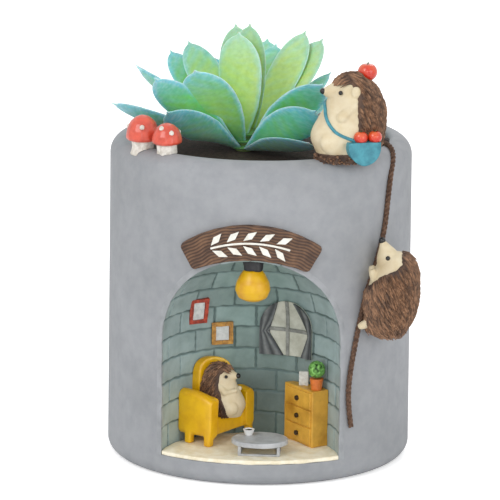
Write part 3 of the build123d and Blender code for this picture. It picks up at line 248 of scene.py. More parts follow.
def finish(name, colour, shade=(200, 200, 200), rough=0.5, patchScale=140, patchAmount=0.5,
           grainScale=900, grainStrength=0.25, grainDepth=0.0002, coat=0, scatter=0, sheen=0):
    # a painted or grown surface: its colour with patches of a shade, then the fine grain
    # as a normal; with None for its colour it shows the tint laid on the mesh
    tree, shader = newMaterial(name)
    tint = paint(*colour) if colour else addNode(tree, "VertexColor", layer_name="Tint")["Color"]
    patches = addNode(tree, "Group", {"Scale": patchScale, "Amount": patchAmount, "Colour": tint,
                                      "Shade": paint(*shade)}, node_tree=unevenPaint)
    grain = addNode(tree, "Group", {"Scale": grainScale, "Strength": grainStrength,
                                    "Depth": grainDepth}, node_tree=castGrain)
    setInputs(tree, shader, {"Base Color": patches["Colour"], "Normal": grain["Normal"],
                             "Roughness": rough, "Coat Weight": coat, "Coat Roughness": 0.25,
                             "Sheen Weight": sheen})
    if scatter:
        setInputs(tree, shader, {"Subsurface Weight": scatter, "Subsurface Scale": 0.002})


# mesh building
def linkMesh(name, verts, faces, tint=None, smooth=True):
    mesh = bpy.data.meshes.new(name)
    mesh.from_pydata([tuple(v) for v in verts], [], [tuple(int(i) for i in f) for f in faces])
    mesh.validate()
    if smooth:
        mesh.polygons.foreach_set("use_smooth", [True] * len(mesh.polygons))
    if tint is not None:
        layTint(mesh, tint)
    return inScene(name, mesh)


def layTint(mesh, tint):
    colours = np.ones((len(mesh.vertices), 4), dtype=np.float32)
    colours[:, :3] = np.asarray(tint, dtype=np.float32)[:, :3]
    layer = mesh.color_attributes.get("Tint")
    layer = layer or mesh.color_attributes.new("Tint", "FLOAT_COLOR", "POINT")
    layer.data.foreach_set("color", colours.ravel())


def points(mesh):
    out = np.empty(len(mesh.vertices) * 3)
    mesh.vertices.foreach_get("co", out)
    return out.reshape(-1, 3)


def normals(mesh):
    out = np.empty(len(mesh.vertices) * 3)
    mesh.vertex_normals.foreach_get("vector", out)
    return out.reshape(-1, 3)


def setPoints(mesh, places):
    mesh.vertices.foreach_set("co", np.asarray(places).ravel())
    mesh.update()


def remeshed(piece, voxel, smoothing):
    # one closed skin over the parts, softened, and kept as a plain mesh
    remesh = piece.modifiers.new("remesh", "REMESH")
    remesh.mode = "VOXEL"
    remesh.voxel_size = voxel
    remesh.use_smooth_shade = True
    soften = piece.modifiers.new("soften", "SMOOTH")
    soften.factor = 0.5
    soften.iterations = smoothing
    graph = bpy.context.evaluated_depsgraph_get()
    mesh = bpy.data.meshes.new_from_object(piece.evaluated_get(graph))
    piece.modifiers.clear()
    piece.data = mesh
    mesh.polygons.foreach_set("use_smooth", [True] * len(mesh.polygons))


def circle(sides):
    return [(cos(tau * j / sides), sin(tau * j / sides)) for j in range(sides)]


def ringFaces(rings, sides):
    # the faces of a row of rings, with both ends closed
    faces = [(i + j, i + (j + 1) % sides, i + sides + (j + 1) % sides, i + sides + j)
             for i in range(0, (rings - 1) * sides, sides) for j in range(sides)]
    faces.append(tuple(range(sides))[::-1])
    faces.append(tuple((rings - 1) * sides + j for j in range(sides)))
    return faces


def ball(centre, radii, turn=None, rings=12, sides=18):
    # an ellipsoid as verts and faces, for joining into a figure
    verts, faces = [], []
    for i in range(1, rings):
        a = pi * i / rings
        verts += [Vector((sin(a) * c * radii[0], sin(a) * d * radii[1], cos(a) * radii[2]))
                  for c, d in circle(sides)]
    verts += [Vector((0, 0, radii[2])), Vector((0, 0, -radii[2]))]
    top, bottom, last = len(verts) - 2, len(verts) - 1, (rings - 2) * sides
    for j in range(sides):
        k = (j + 1) % sides
        faces += [(top, j, k), (bottom, last + k, last + j)]
        for i in range(0, last, sides):
            faces.append((i + j, i + sides + j, i + sides + k, i + k))
    turn = turn or Matrix.Identity(3)
    return [turn @ v + Vector(centre) for v in verts], faces


def capsule(start, end, startRadius, endRadius, steps=7):
    # overlapping balls from one end to the other
    parts = []
    for i in range(steps):
        share = i / (steps - 1)
        radius = startRadius + (endRadius - startRadius) * share
        parts.append(ball(Vector(start).lerp(Vector(end), share), (radius,) * 3))
    return parts


def joined(name, parts, place=None):
    # parts in a figure's own frame, laid in the world by its place
    verts, faces = [], []
    for partVerts, partFaces in parts:
        start = len(verts)
        verts += [place @ v if place else v for v in partVerts]
        faces += [tuple(i + start for i in f) for f in partFaces]
    return linkMesh(name, verts, faces)


def dress(piece, look, node, body="pot"):
    # its look, the solid it stands for and the body it rides on
    piece.data.materials.clear()
    piece.data.materials.append(bpy.data.materials[look])
    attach(piece, body)
    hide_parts(node)


def built(name, parts, look, node, place=None, body="pot"):
    piece = joined(name, parts, place)
    dress(piece, look, node, body)
    return piece.data


def dressSolid(node, look):
    # a solid that is shown as it is
    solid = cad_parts[node]
    if not solid.material_slots:
        solid.data.materials.append(None)
    for holder in solid.material_slots:
        holder.material = bpy.data.materials[look]


def noiseField(places, scale, seed):
    # smooth noise from a few crossed waves, about -1 to 1
    maker = np.random.RandomState(seed)
    waves = 9
    total = np.zeros(len(places))
    for _ in range(waves):
        way = maker.normal(size=3)
        way = way / np.linalg.norm(way) * scale * maker.uniform(0.6, 1.7)
        total += np.sin(places @ way + maker.uniform(0, wave))
    return total / (0.4 * waves)


def mixTint(first, second, share):
    return blend(tone(first), tone(second), np.clip(share, 0, 1)[:, None])


def speckled(first, second, start, spread, scale, seed):
    # a tint that wanders between two colours
    def tint(places):
        return mixTint(first, second, start + spread * noiseField(places, scale, seed))

    return tint


def castCopy(name, node, voxel, smoothing, look, slot, lumps=0.0, lumpScale=900, shape=None,
             tint=None):
    # a softened copy of a CAD solid, as a casting comes out of its mould; sizes are in mm
    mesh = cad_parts[node].data.copy()
    work = bmesh.new()
    work.from_mesh(mesh)
    bmesh.ops.remove_doubles(work, verts=work.verts, dist=2e-6)
    work.to_mesh(mesh)
    work.free()
    piece = inScene(name, mesh)
    remeshed(piece, voxel * mm, smoothing)
    places, outward = points(piece.data), normals(piece.data)
    if lumps:
        high = noiseField(places, lumpScale, len(name)) * lumps * mm
        places = places + outward * high[:, None]
    if shape:
        places = shape(places, outward)
    setPoints(piece.data, places)
    if tint:
        layTint(piece.data, tint(points(piece.data)))
    dress(piece, look, node)


# sizes shared with the solids
pot = {"height": 0.1171, "topRadius": 0.0547, "baseRadius": 0.0553, "shoulder": 0.0063}
alcove = {
    "radius": 0.032, "y": -0.049, "floor": 0.0098, "spring": 0.051, "lining": 0.002,
    "course": 0.00795, "brick": 0.0154,
}


def wallRadius(z):
    return pot["baseRadius"] + (pot["topRadius"] - pot["baseRadius"]) * z / pot["height"]


def potPlace(bearing, radius, height):
    turn = radians(bearing)
    return Vector((radius * sin(turn), -radius * cos(turn), height))


# pot: the solid stays, with a skin of cast cement
cement = {
    "colour": (158, 160, 164), "patch": (228, 229, 228), "finePatch": (236, 238, 239),
    "fineScale": 190, "fineAmount": 0.7,
}


def makeCement(colour, patch, finePatch, fineScale, fineAmount):
    finish("castCement", colour, patch, 0.7, 26, 0.6, 420, 0.25, 0.0003)
    # a second, finer patchiness over the first
    tree = bpy.data.materials["castCement"].node_tree
    shader = tree.nodes["Principled BSDF"]
    first = shader.inputs["Base Color"].links[0].from_socket
    finer = addNode(tree, "Group", {"Scale": fineScale, "Amount": fineAmount, "Colour": first,
                                    "Shade": paint(*finePatch)}, node_tree=unevenPaint)
    setInputs(tree, shader, {"Base Color": finer["Colour"]})


makeCement(**cement)
dressSolid("pot_body", "castCement")
print("stage: pot")

# brick lining of the alcove
bricks = {
    # two brick tones, the pale sides, the joints and the cement round them
    "colours": [(148, 172, 168), (134, 155, 151), (200, 210, 218), (88, 108, 106),
                cement["colour"]],
    "rows": 330, "columns": 460, "edgeColumns": 9, "skirt": 0.0016,
    "jointWidth": 0.00027, "jointDepth": 0.0005, "jointTint": 0.86, "bulge": 0.00022,
    "wander": (0.00012, 0.00008),
    # how pale the left and the right side are
    "paleness": (0.5, 0.6),
    # painted shade low at the back of the alcove: how dark, its bearing, spread, top and fade
    "paintedShade": 0.55, "paintedShadeTurn": 0.12, "paintedShadeSpread": 0.55, "paintedShadeTop": 0.048, "paintedShadeFade": 0.02,
    "edgeShare": 0.93, "edgeLap": 1.02, "edgeLift": 0.00012,
}
finish("brickPaint", None, (205, 210, 208), 0.6, 160, 0.6, 700, 0.3, 0.0003)


def meridian(h):
    # reach, level and tilt of the lining at a height along it
    over = max(h - alcove["spring"], 0)
    tilt = over / alcove["radius"]
    level = min(h, alcove["spring"]) + alcove["radius"] * sin(tilt)
    return alcove["radius"] * cos(tilt), level, tilt


def edgeTurn(radius, z):
    # where the room's wall meets the pot's outside
    outside = wallRadius(z)
    share = (outside**2 - radius**2 - alcove["y"] ** 2) / (2 * alcove["y"] * radius)
    return acos(max(-1.0, min(1.0, share)))


def makeBricks(colours, rows, columns, edgeColumns, skirt, jointWidth, jointDepth, jointTint,
               bulge, wander, paleness, paintedShade, paintedShadeTurn, paintedShadeSpread, paintedShadeTop, paintedShadeFade, edgeShare,
               edgeLap, edgeLift):
    colour, second, pale, joint, grey = [tone(each) for each in colours]
    floorAt, course, lap = alcove["floor"], alcove["course"], alcove["lining"] * edgeLap
    low, top = floorAt - skirt, alcove["spring"] + alcove["radius"] * pi / 2
    verts, tints, faces = [], [], []
    for i in range(rows + 1):
        h = low + (top - low - 1e-5) * i / rows
        radius, level, tilt = meridian(h)
        rise = max(h - floorAt, 0) / course
        number = int(rise)
        within = (rise - number) * course
        toLevel = min(within, course - within) if number else course - within
        middle = meridian(floorAt + (number + 0.5) * course)[0]
        brickTurn = alcove["brick"] / max(middle, 0.003)
        sideTurn = edgeTurn(radius, level)
        for j in range(-edgeColumns, columns + edgeColumns + 1):
            share = min(max(j / columns, 0), 1) * 2 - 1
            turn = share * sideTurn
            position = turn / brickTurn - 0.5 * (number % 2) + 0.5
            brick = floor(position)
            offset = position - brick
            toUpright = min(offset, 1 - offset) * brickTurn * radius
            # joints wander a little, as scratched ones do
            near = min(toLevel, toUpright) + wander[0] * sin(turn * 37 + number * 2.1)
            near += wander[1] * sin(h * 2300 + turn * 11)
            groove = 1 - held((near - jointWidth * 0.4) / (jointWidth * 1.6))
            groove = groove * groove * (3 - 2 * groove)
            sideFade = max(0, abs(share) - edgeShare) / (1 - edgeShare) * (radius > 0.012)
            inward = bulge * sin(brick * 12.9 + number * 7.7) - groove * jointDepth
            inward = inward * (1 - sideFade * 0.7)
            past = max(-j, j - columns, 0) / edgeColumns
            if past:
                # round over the pot's face
                inward = -lap * past
            reach, z = radius - inward * cos(tilt), level - inward * sin(tilt)
            if past:
                turn = copysign(edgeTurn(reach, z), share)
            x, y = reach * sin(turn), alcove["y"] + reach * cos(turn)
            if past:
                lift = 1 + edgeLift * sin(pi * past) / hypot(x, y)
                x, y = x * lift, y * lift
            verts.append((x, y, z))
            mix = 0.5 + 0.5 * sin(brick * 5.1 + number * 3.3)
            shown = blend(colour, second, mix)
            paled = max(0, abs(sin(turn)) * 0.9 - 0.25) * paleness[turn >= 0]
            shown = blend(shown, pale, paled)
            # painted shade: darker low down at the back of the alcove, where its shadow falls
            dark = exp(-((turn - paintedShadeTurn) / paintedShadeSpread) ** 2)
            shown = shown * (1 - paintedShade * dark * held((paintedShadeTop - level) / paintedShadeFade))
            shown = blend(shown, joint, groove * jointTint)
            fade = min(1, sideFade * 0.8 + (0.35 + 0.65 * past if past else 0))
            tints.append(blend(shown, grey, fade))
    wide = columns + 2 * edgeColumns + 1
    for i in range(rows):
        for a in range(i * wide, i * wide + wide - 1):
            faces.append((a, a + wide, a + wide + 1, a + 1))
    return linkMesh("brickLining", verts, faces, tints)


dress(makeBricks(**bricks), "brickPaint", "alcove_wall")
print("stage: bricks")

finish("creamFloor", (250, 243, 222), (234, 226, 204), 0.5, 300, 0.7, 600, 0.3, 0.0003)
castCopy("roomFloor", "alcove_floor", 0.4, 2, "creamFloor", "floor_cream", 0.08, 700)

# sign: a wooden plank with a raised sprig
sign = {
    "wood": (70, 46, 32), "woodLight": (126, 92, 66), "grainDepth": 0.00028, "lineGap": 0.0011,
    "bow": 0.0402, "middle": 0.0893,
}
finish("signWood", None, (190, 180, 170), 0.5, 500, 0.6, 1500, 0.3)
finish("sprigPaint", (240, 238, 230), (215, 212, 204), 0.4, 400, 0.5)


def grainLines(places):
    # lines that follow the sign's bow, at a height above its middle line
    x, z = places[:, 0], places[:, 2] - (sign["middle"] - sign["bow"])
    across, along = np.hypot(x, z) - sign["bow"], np.arctan2(x, z) * sign["bow"]
    across = across + 0.0005 * np.sin(along * 210) + 0.0002 * np.sin(along * 900)
    return np.sin(across / sign["lineGap"] * wave)


def carveGrain(places, outward):
    facing = np.clip(-outward[:, 1], 0, 1)
    depth = np.clip(-grainLines(places) - 0.25, 0, 1) * sign["grainDepth"] * facing
    return places - outward * depth[:, None]


def grainTint(places):
    share = 0.35 + 0.45 * grainLines(places) + 0.25 * noiseField(places, 900, 3)
    return mixTint(sign["wood"], sign["woodLight"], share)


castCopy("signPlank", "sign_board", 0.22, 2, "signWood", "sign_brown", 0.06, 800,
         shape=carveGrain, tint=grainTint)
castCopy("signSprig", "sign_sprig", 0.12, 2, "sprigPaint", "sprig_cream")

# lamp, frames and furniture: softened castings with their own paint
finish("lampYellow", (220, 172, 2), (225, 190, 140), 0.36, 220, 0.6, 500, 0.12, coat=0.12)
finish("lampCapBlack", (34, 34, 38), (150, 150, 150), 0.4, 400, 0.6, 700, 0.4, 0.0003)
finish("frameRed", (196, 74, 50), (150, 120, 110), 0.4, 700, 0.9, 900, 0.3)
finish("frameGold", (206, 150, 62), (160, 140, 120), 0.4, 700, 0.9, 900, 0.3)
finish("cardWhite", (222, 224, 222), (205, 208, 208), 0.6, 600, 0.8)
finish("chairYellow", (238, 188, 12), (218, 190, 130), 0.3, 130, 0.6, 500, 0.12, coat=0.25)
finish("chestOchre", None, (205, 195, 170), 0.42, 160, 0.7, 800, 0.25)
finish("knobBrown", (50, 34, 26), (170, 170, 170), 0.35, 800, 0.5)
finish("tableGrey", (186, 188, 190), (205, 206, 208), 0.38, 300, 0.7, 700, 0.2)
finish("bushPotOrange", (224, 122, 50), (205, 190, 180), 0.4, 500, 0.6)
finish("bushGreen", None, (110, 140, 90), 0.45, 900, 0.9)
finish("bookWhite", (226, 226, 220), (205, 205, 198), 0.5, 800, 0.6)
finish("cupWhite", (238, 238, 236), (225, 225, 225), 0.2, 500, 0.4, coat=0.5)
finish("darkDrink", (44, 40, 46), (200, 200, 200), 0.15, 500, 0.4, coat=0.6)
finish("panePaint", (206, 207, 194), (200, 200, 190), 0.45, 300, 0.6)
finish("barPaint", (150, 152, 146), (170, 170, 170), 0.5, 500, 0.7)
finish("curtainGrey", None, (190, 190, 195), 0.6, 600, 0.6)

# the chair's own frame, and how far its arms fall to the front
chair = {
    "bearing": -22.7, "fromAxis": 0.0231, "turn": radians(57.0),
    "armsAt": 0.0078, "armEdge": 0.001, "seat": 0.0094, "armTop": 0.0196,
    "backEdge": 0.0075, "length": 0.0093, "curve": 1.6, "fall": 0.0026,
}
chairSpot = potPlace(180 - chair["bearing"], chair["fromAxis"], alcove["floor"])
chairSpot.y += alcove["y"]


def slopeArms(places, outward):
    right, ahead = cos(chair["turn"]), sin(chair["turn"])
    x, y, high = [places[:, k] - chairSpot[k] for k in range(3)]
    across, back = x * right + y * ahead, y * right - x * ahead
    arm = np.clip((np.abs(across) - chair["armsAt"]) / chair["armEdge"], 0, 1)
    lifted = np.clip((high - chair["seat"]) / (chair["armTop"] - chair["seat"]), 0, 1)
    front = np.clip((chair["backEdge"] - back) / chair["length"], 0, 1) ** chair["curve"]
    out = places.copy()
    out[:, 2] -= arm * lifted * front * chair["fall"]
    return out


# piece, node, voxel, smoothing, look, slot, height and closeness of its lumps
for casting in (
    ("lampShade", "lamp_shade", 0.25, 24, "lampYellow", "lamp_yellow", 0.08, 500),
    ("lampCap", "lamp_cap", 0.2, 16, "lampCapBlack", "lamp_yellow", 0.4, 900),
    ("redFrame", "red_frame", 0.12, 6, "frameRed", "frame_red", 0.06, 1500),
    ("goldFrame", "gold_frame", 0.12, 6, "frameGold", "frame_gold", 0.06, 1500),
    ("redCard", "red_frame_card", 0.12, 2, "cardWhite", "card_white"),
    ("goldCard", "gold_frame_card", 0.12, 2, "cardWhite", "card_white"),
    ("windowPanes", "window_pane", 0.14, 2, "panePaint", "pane_white"),
    ("windowBars", "window_frame", 0.1, 2, "barPaint", "window_bar_grey"),
    ("armchair", "armchair", 0.28, 34, "chairYellow", "chair_yellow", 0.12, 420, slopeArms),
    ("tableTop", "table_top", 0.18, 8, "tableGrey", "table_grey", 0.06, 900),
    ("tableLegs", "table_legs", 0.14, 4, "tableGrey", "table_grey", 0.05, 900),
    ("whiteCup", "cup", 0.09, 3, "cupWhite", "cup_white"),
):
    castCopy(*casting)

drink = {"radius": 0.0014, "depth": 0.0006}


def makeDrink(radius, depth):
    low, high = [Vector(corner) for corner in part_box("cup")]
    middle = ((low.x + high.x) / 2, (low.y + high.y) / 2, high.z - depth)
    built("cupDrink", [ball(middle, (radius, radius, depth))], "darkDrink", "cup")


makeDrink(**drink)
castCopy("book", "book", 0.12, 4, "bookWhite", "book_red")
castCopy("bushPot", "bush_pot", 0.12, 4, "bushPotOrange", "bush_pot_orange")
castCopy("drawerKnobs", "chest_knobs", 0.1, 3, "knobBrown", "knob_brown")

# chest, its paint rubbed unevenly into the wood
chest = {
    "first": (232, 180, 72), "second": (206, 150, 50), "start": 0.3, "spread": 0.4,
    "scale": 500, "seed": 8,
}
castCopy("chestCase", "chest_carcass", 0.24, 5, "chestOchre", "chest_ochre", 0.1, 500,
         tint=speckled(**chest))
castCopy("drawerFronts", "chest_drawers", 0.14, 6, "chestOchre", "chest_ochre", 0.04, 700,
         tint=speckled(**chest))

# curtains hang in folds that gather at the ties
curtains = {
    "turn": radians(22.0), "edge": 0.0101, "tieHeight": 0.0486,
    "gathered": 0.0012, "spread": 0.38, "folds": 1.2, "depth": 0.00024,
    # the curtain's colour on the crests, and painted shade in the valleys of the folds
    "colour": (126, 130, 130), "foldShade": (66, 70, 72),
}


def foldWave(places):
    # 0 on a fold's crest, 1 in its valley
    way = curtains["turn"]
    across = places[:, 0] * cos(way) - (places[:, 1] - alcove["y"]) * sin(way)
    fromTie = np.abs(places[:, 2] - curtains["tieHeight"])
    width = (curtains["gathered"] + curtains["spread"] * fromTie) / curtains["folds"]
    phase = (curtains["edge"] - np.abs(across)) / width
    return 0.5 + 0.5 * np.sin(phase * wave)


def foldCurtain(places, outward):
    inward = np.zeros_like(places)
    inward[:, 0] = -places[:, 0]
    inward[:, 1] = alcove["y"] - places[:, 1]
    inward /= np.linalg.norm(inward, axis=1)[:, None]
    front = np.clip((outward * inward).sum(axis=1), 0, 1)
    return places - inward * (curtains["depth"] * foldWave(places) * front)[:, None]


def curtainTint(places):
    # the valleys of the folds painted darker: painted shade
    return mixTint(curtains["colour"], curtains["foldShade"], foldWave(places))


castCopy("curtains", "window_curtains", 0.1, 2, "curtainGrey", "curtain_grey",
         shape=foldCurtain, tint=curtainTint)
print("stage: furniture")

# bush: a ball of small leaves
bush = {
    "leaves": 190, "leafLength": 0.0016, "radius": 0.0031, "core": 0.86, "leavesAt": 0.88,
    "dark": (34, 72, 26), "light": (150, 218, 112),
}


def makeBush(leaves, leafLength, radius, core, leavesAt, dark, light):
    low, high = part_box("bush")
    centre = (Vector(low) + Vector(high)) / 2
    parts = [ball(centre, (radius * core,) * 3)]
    for _ in range(leaves):
        way = Vector((dice.gauss(0, 1), dice.gauss(0, 1), dice.gauss(0, 1))).normalized()
        turn = way.to_track_quat("Z", "Y").to_matrix()
        turn = turn @ Matrix.Rotation(dice.uniform(0, wave), 3, "Z")
        size = leafLength * dice.uniform(0.45, 0.65)
        leaf = (size, size * 0.7, size * 0.45)
        parts.append(ball(centre + way * radius * leavesAt, leaf, turn, 5, 7))
    mesh = built("bushLeaves", parts, "bushGreen", "bush")
    away = np.linalg.norm(points(mesh) - np.array(centre), axis=1) / radius
    # darker deeper in among the leaves, lighter at their tips: painted shade
    layTint(mesh, mixTint(dark, light, (away - 0.84) * 4.5))


makeBush(**bush)

# mushrooms, soil and gravel
finish("mushroomRed", (222, 92, 70), (205, 160, 150), 0.3, 300, 0.7, 600, 0.15, coat=0.35,
       scatter=0.08)
finish("mushroomStem", (232, 228, 220), (200, 196, 186), 0.5, 500, 0.8)
castCopy("mushroomCaps", "mushroom_caps", 0.25, 22, "mushroomRed", "mushroom_red", 0.1, 500)
castCopy("mushroomStems", "mushroom_stems", 0.22, 5, "mushroomStem", "mushroom_white", 0.35, 900)
castCopy("mushroomSpots", "mushroom_spots", 0.1, 4, "mushroomStem", "mushroom_white")
print("stage: mushrooms")

finish("barkSoil", (62, 48, 38), (120, 110, 100), 0.9, 700, 0.9, 1500, 0.8, 0.0006)
finish("gravelStones", None, (160, 150, 150), 0.7, 500, 0.8, 1200, 0.4)
dressSolid("soil_fill", "barkSoil")
gravel = {
    "stones": 14,
    "colours": [(196, 78, 56), (112, 104, 98), (88, 80, 76), (150, 140, 128), (70, 66, 66)],
}


def stoneTint(places):
    # each stone of the ring has one colour
    around = (np.arctan2(places[:, 0], -places[:, 1]) + pi) / tau
    number = (around * gravel["stones"] + 0.5).astype(int) % len(gravel["colours"])
    return np.array([tone(colour) for colour in gravel["colours"]])[number]


castCopy("gravel", "gravel", 0.3, 4, "gravelStones", "gravel_mix", 0.2, 700, tint=stoneTint)
print("stage: soil and gravel")

# rope: three strands laid round the line that the solid follows
rope = {
    "strands": 3, "strandRadius": 0.00052, "layRadius": 0.00047, "layLength": 0.0052,
    "steps": 520, "sides": 8, "seat": 0.0008,
    # over the rim: bearing and turn; down the wall: bearing and share of the height
    "overRim": [(74.5, 104.0), (70.6, 86.0), (67.8, 60.0), (63.4, 30.0)],
    "downWall": [
        (59.9, 0.935), (58.2, 0.862), (56.2, 0.762), (51.8, 0.672), (46.4, 0.583),
        (43.2, 0.494), (40.6, 0.402), (38.6, 0.312), (38.5, 0.236), (39.9, 0.171),
    ],
}


def ropeRoute(seat, overRim, downWall):
    route = []
    bend = pot["shoulder"] + seat
    for bearing, turn in overRim:
        radius = pot["topRadius"] - pot["shoulder"] + bend * cos(radians(turn))
        height = pot["height"] - pot["shoulder"] + bend * sin(radians(turn))
        route.append(potPlace(bearing, radius, height))
    for bearing, share in downWall:
        height = share * pot["height"]
        route.append(potPlace(bearing, wallRadius(height) + seat, height))
    return route


def evenSteps(route, count):
    # points at equal steps along a smooth curve through a route, and its length
    data = bpy.data.curves.new("routeLine", "CURVE")
    data.dimensions = "3D"
    data.resolution_u = 24
    line = data.splines.new("NURBS")
    line.points.add(len(route) - 1)
    for spot, place in zip(line.points, route):
        spot.co = (*place, 1)
    line.order_u = 3
    line.use_endpoint_u = True
    holder = inScene("routeLine", data)
    graph = bpy.context.evaluated_depsgraph_get()
    fine = points(bpy.data.meshes.new_from_object(holder.evaluated_get(graph)))
    bpy.data.objects.remove(holder)
    gaps = np.linalg.norm(np.diff(fine, axis=0), axis=1)
    along = np.concatenate([[0], np.cumsum(gaps)])
    wanted = np.linspace(0, along[-1], count)
    even = np.stack([np.interp(wanted, along, fine[:, k]) for k in range(3)], axis=1)
    return [Vector(place) for place in even], along[-1]


def carried(route):
    # each point with two directions across the line, carried along without twist
    out, side = [], None
    for i, place in enumerate(route):
        ahead = route[min(i + 1, len(route) - 1)] - route[max(i - 1, 0)]
        ahead.normalize()
        if side is None:
            side = ahead.orthogonal().normalized()
        side = (side - ahead * side.dot(ahead)).normalized()
        out.append((place, side, ahead.cross(side)))
    return out


def tube(route, radius, sides):
    verts = []
    for place, side, up in carried(route):
        verts += [place + side * c * radius + up * d * radius for c, d in circle(sides)]
    return verts, ringFaces(len(route), sides)


def makeRope(strands, strandRadius, layRadius, layLength, steps, sides, **route):
    middle, length = evenSteps(ropeRoute(**route), steps)
    turns = length / (steps - 1) / layLength
    parts = []
    for strand in range(strands):
        line = []
        for i, (place, side, up) in enumerate(carried(middle)):
            turn = tau * (strand / strands + i * turns)
            line.append(place + (side * cos(turn) + up * sin(turn)) * layRadius)
        parts.append(tube(line, strandRadius, sides))
    built("twistedRope", parts, "ropeFibre", "rope")


finish("ropeFibre", (112, 84, 66), (130, 115, 105), 0.85, 900, 0.9, 2600, 0.7, 0.0003)
finish("ropeKnot", (58, 50, 48), (130, 115, 105), 0.7, 900, 0.9, 2600, 0.7, 0.0003)
makeRope(**rope)
castCopy("ropeKnot", "rope_knot", 0.1, 3, "ropeKnot", "rope_brown", 0.2, 2200)
print("stage: rope")

# hedgehogs
finish("furCream", None, (236, 224, 198), 0.5, 260, 0.5, 1100, 0.2, 0.00012)
finish("quillBrown", None, (150, 130, 120), 0.6, 700, 0.6, 2500, 0.3)
finish("eyeGloss", (10, 8, 8), (200, 200, 200), 0.25, 500, 0.3, 400, 0.05, coat=0.2)
coats = {
    "furTint": {"first": (219, 207, 178), "second": (196, 178, 145), "start": 0.2,
                "spread": 0.35, "scale": 420, "seed": 12},
    "coatTint": {"first": (64, 44, 33), "second": (104, 76, 57), "start": 0.4, "spread": 0.5,
                 "scale": 900, "seed": 12},
    "thick": 0.00055, "sunk": 0.0016, "edge": 0.0005, "ragged": 0.00014,
}
quills = {
    # the least and the most of a quill's sway, length, breadth, lift and brightness
    "sway": (-0.16, 0.16), "long": (0.7, 1.15), "broad": (0.35, 0.6), "lift": (0.10, 0.26),
    "bright": (0.25, 1.0), "root": (54, 36, 27), "tip": (210, 160, 120),
    "underRow": 0.15, "shortest": 0.0008, "thick": 0.12, "droop": 16,
}
# a body's levels: height, front, back and side, as shares of its size
sittingLevels = [
    (0.00, 0.31, 0.36, 0.212), (0.09, 0.35, 0.413, 0.254), (0.20, 0.392, 0.45, 0.276),
    (0.31, 0.376, 0.466, 0.278), (0.43, 0.307, 0.477, 0.27), (0.55, 0.238, 0.466, 0.254),
    (0.655, 0.196, 0.424, 0.238), (0.76, 0.16, 0.371, 0.217), (0.845, 0.10, 0.30, 0.18),
    (0.91, 0.03, 0.22, 0.122), (0.95, -0.05, 0.14, 0.058),
]
snoutLevels = [
    (-0.02, 0.13, 0.17, 0.15), (0.09, 0.11, 0.135, 0.12), (0.17, 0.075, 0.10, 0.085),
    (0.235, 0.04, 0.06, 0.05), (0.262, 0.02, 0.03, 0.028),
]
climbingLevels = [
    (0.00, 0.10, 0.11, 0.09), (0.035, 0.165, 0.175, 0.15), (0.12, 0.235, 0.23, 0.20),
    (0.22, 0.245, 0.285, 0.25), (0.40, 0.25, 0.33, 0.28), (0.58, 0.222, 0.336, 0.28),
    (0.75, 0.17, 0.324, 0.24), (0.86, 0.11, 0.28, 0.19), (0.94, 0.04, 0.215, 0.13),
    (0.975, -0.03, 0.16, 0.06),
]
climbingHead = [
    (-0.14, 0.13, 0.13, 0.13), (0.00, 0.15, 0.15, 0.14), (0.10, 0.115, 0.12, 0.11),
    (0.19, 0.065, 0.065, 0.06), (0.255, 0.03, 0.03, 0.03),
]
limbLevels = [
    (0.0, 0.75, 0.75, 0.75), (0.25, 1.0, 1.0, 1.0), (0.75, 0.95, 0.95, 0.9),
    (0.97, 0.55, 0.55, 0.5),
]
# a coat's outline seen from the side: forward and up
sittingCoat = [
    (0.17, 1.20), (0.13, 0.875), (-0.03, 0.852), (-0.085, 0.80), (-0.10, 0.73), (-0.09, 0.56),
    (-0.10, 0.28), (-0.10, -0.20), (-0.80, -0.20), (-0.80, 1.20),
]
loungingCoat = [
    (0.20, 1.20), (0.17, 0.88), (0.07, 0.86), (-0.01, 0.80), (-0.03, 0.62), (0.06, 0.34),
    (0.15, 0.12), (0.16, -0.20), (-0.80, -0.20), (-0.80, 1.20),
]
climbingCoat = [
    (0.60, 0.53), (0.25, 0.56), (0.17, 0.655), (0.10, 0.72), (0.0, 0.775), (-0.12, 0.83),
    (-0.165, 0.87), (-0.13, 1.20), (-0.80, 1.20), (-0.80, -0.30), (0.60, -0.30),
]


def swelling(size, girth, levels, turn=None, grow=0.0, sides=64, between=7):
    # a modelled body on a smooth curve through its levels
    grid, rings, verts = np.array(levels), [], []
    for i in range(len(grid) - 1):
        before, a, b, after = [grid[min(max(i + k, 0), len(grid) - 1)] for k in (-1, 0, 1, 2)]
        for k in range(between):
            t = k / between
            square, cube = 2 * before - 5 * a + 4 * b - after, 3 * a - before - 3 * b + after
            rings.append(0.5 * (2 * a + (b - before) * t + square * t**2 + cube * t**3))
    rings.append(grid[-1])
    turn = turn or Matrix.Identity(4)
    for height, front, back, side in rings:
        for c, d in circle(sides):
            x = girth * ((front - back) / 2 + (front + back) / 2 * c) + grow * c
            verts.append(turn @ Vector((x, girth * side * d + grow * d, size * height)))
    return verts, ringFaces(len(rings), sides)


def surfaceSpot(size, levels, share, turn):
    # a point on a body, at a share of its height and degrees round it
    heights, *reaches = np.array(levels).T
    front, back, side = [float(np.interp(share, heights, each)) for each in reaches]
    x = (front - back) / 2 + (front + back) / 2 * cos(radians(turn))
    return Vector((size * x, size * side * sin(radians(turn)), size * share))


def headTurn(height, behind, lift):
    # a frame whose own up points along the snout; lift is degrees above level
    angle = radians(lift)
    out = Vector((cos(angle), 0, sin(angle)))
    up = Vector((-sin(angle), 0, cos(angle)))
    turn = Matrix((up, out.cross(up), out)).transposed().to_4x4()
    return Matrix.Translation((behind, 0, height)) @ turn


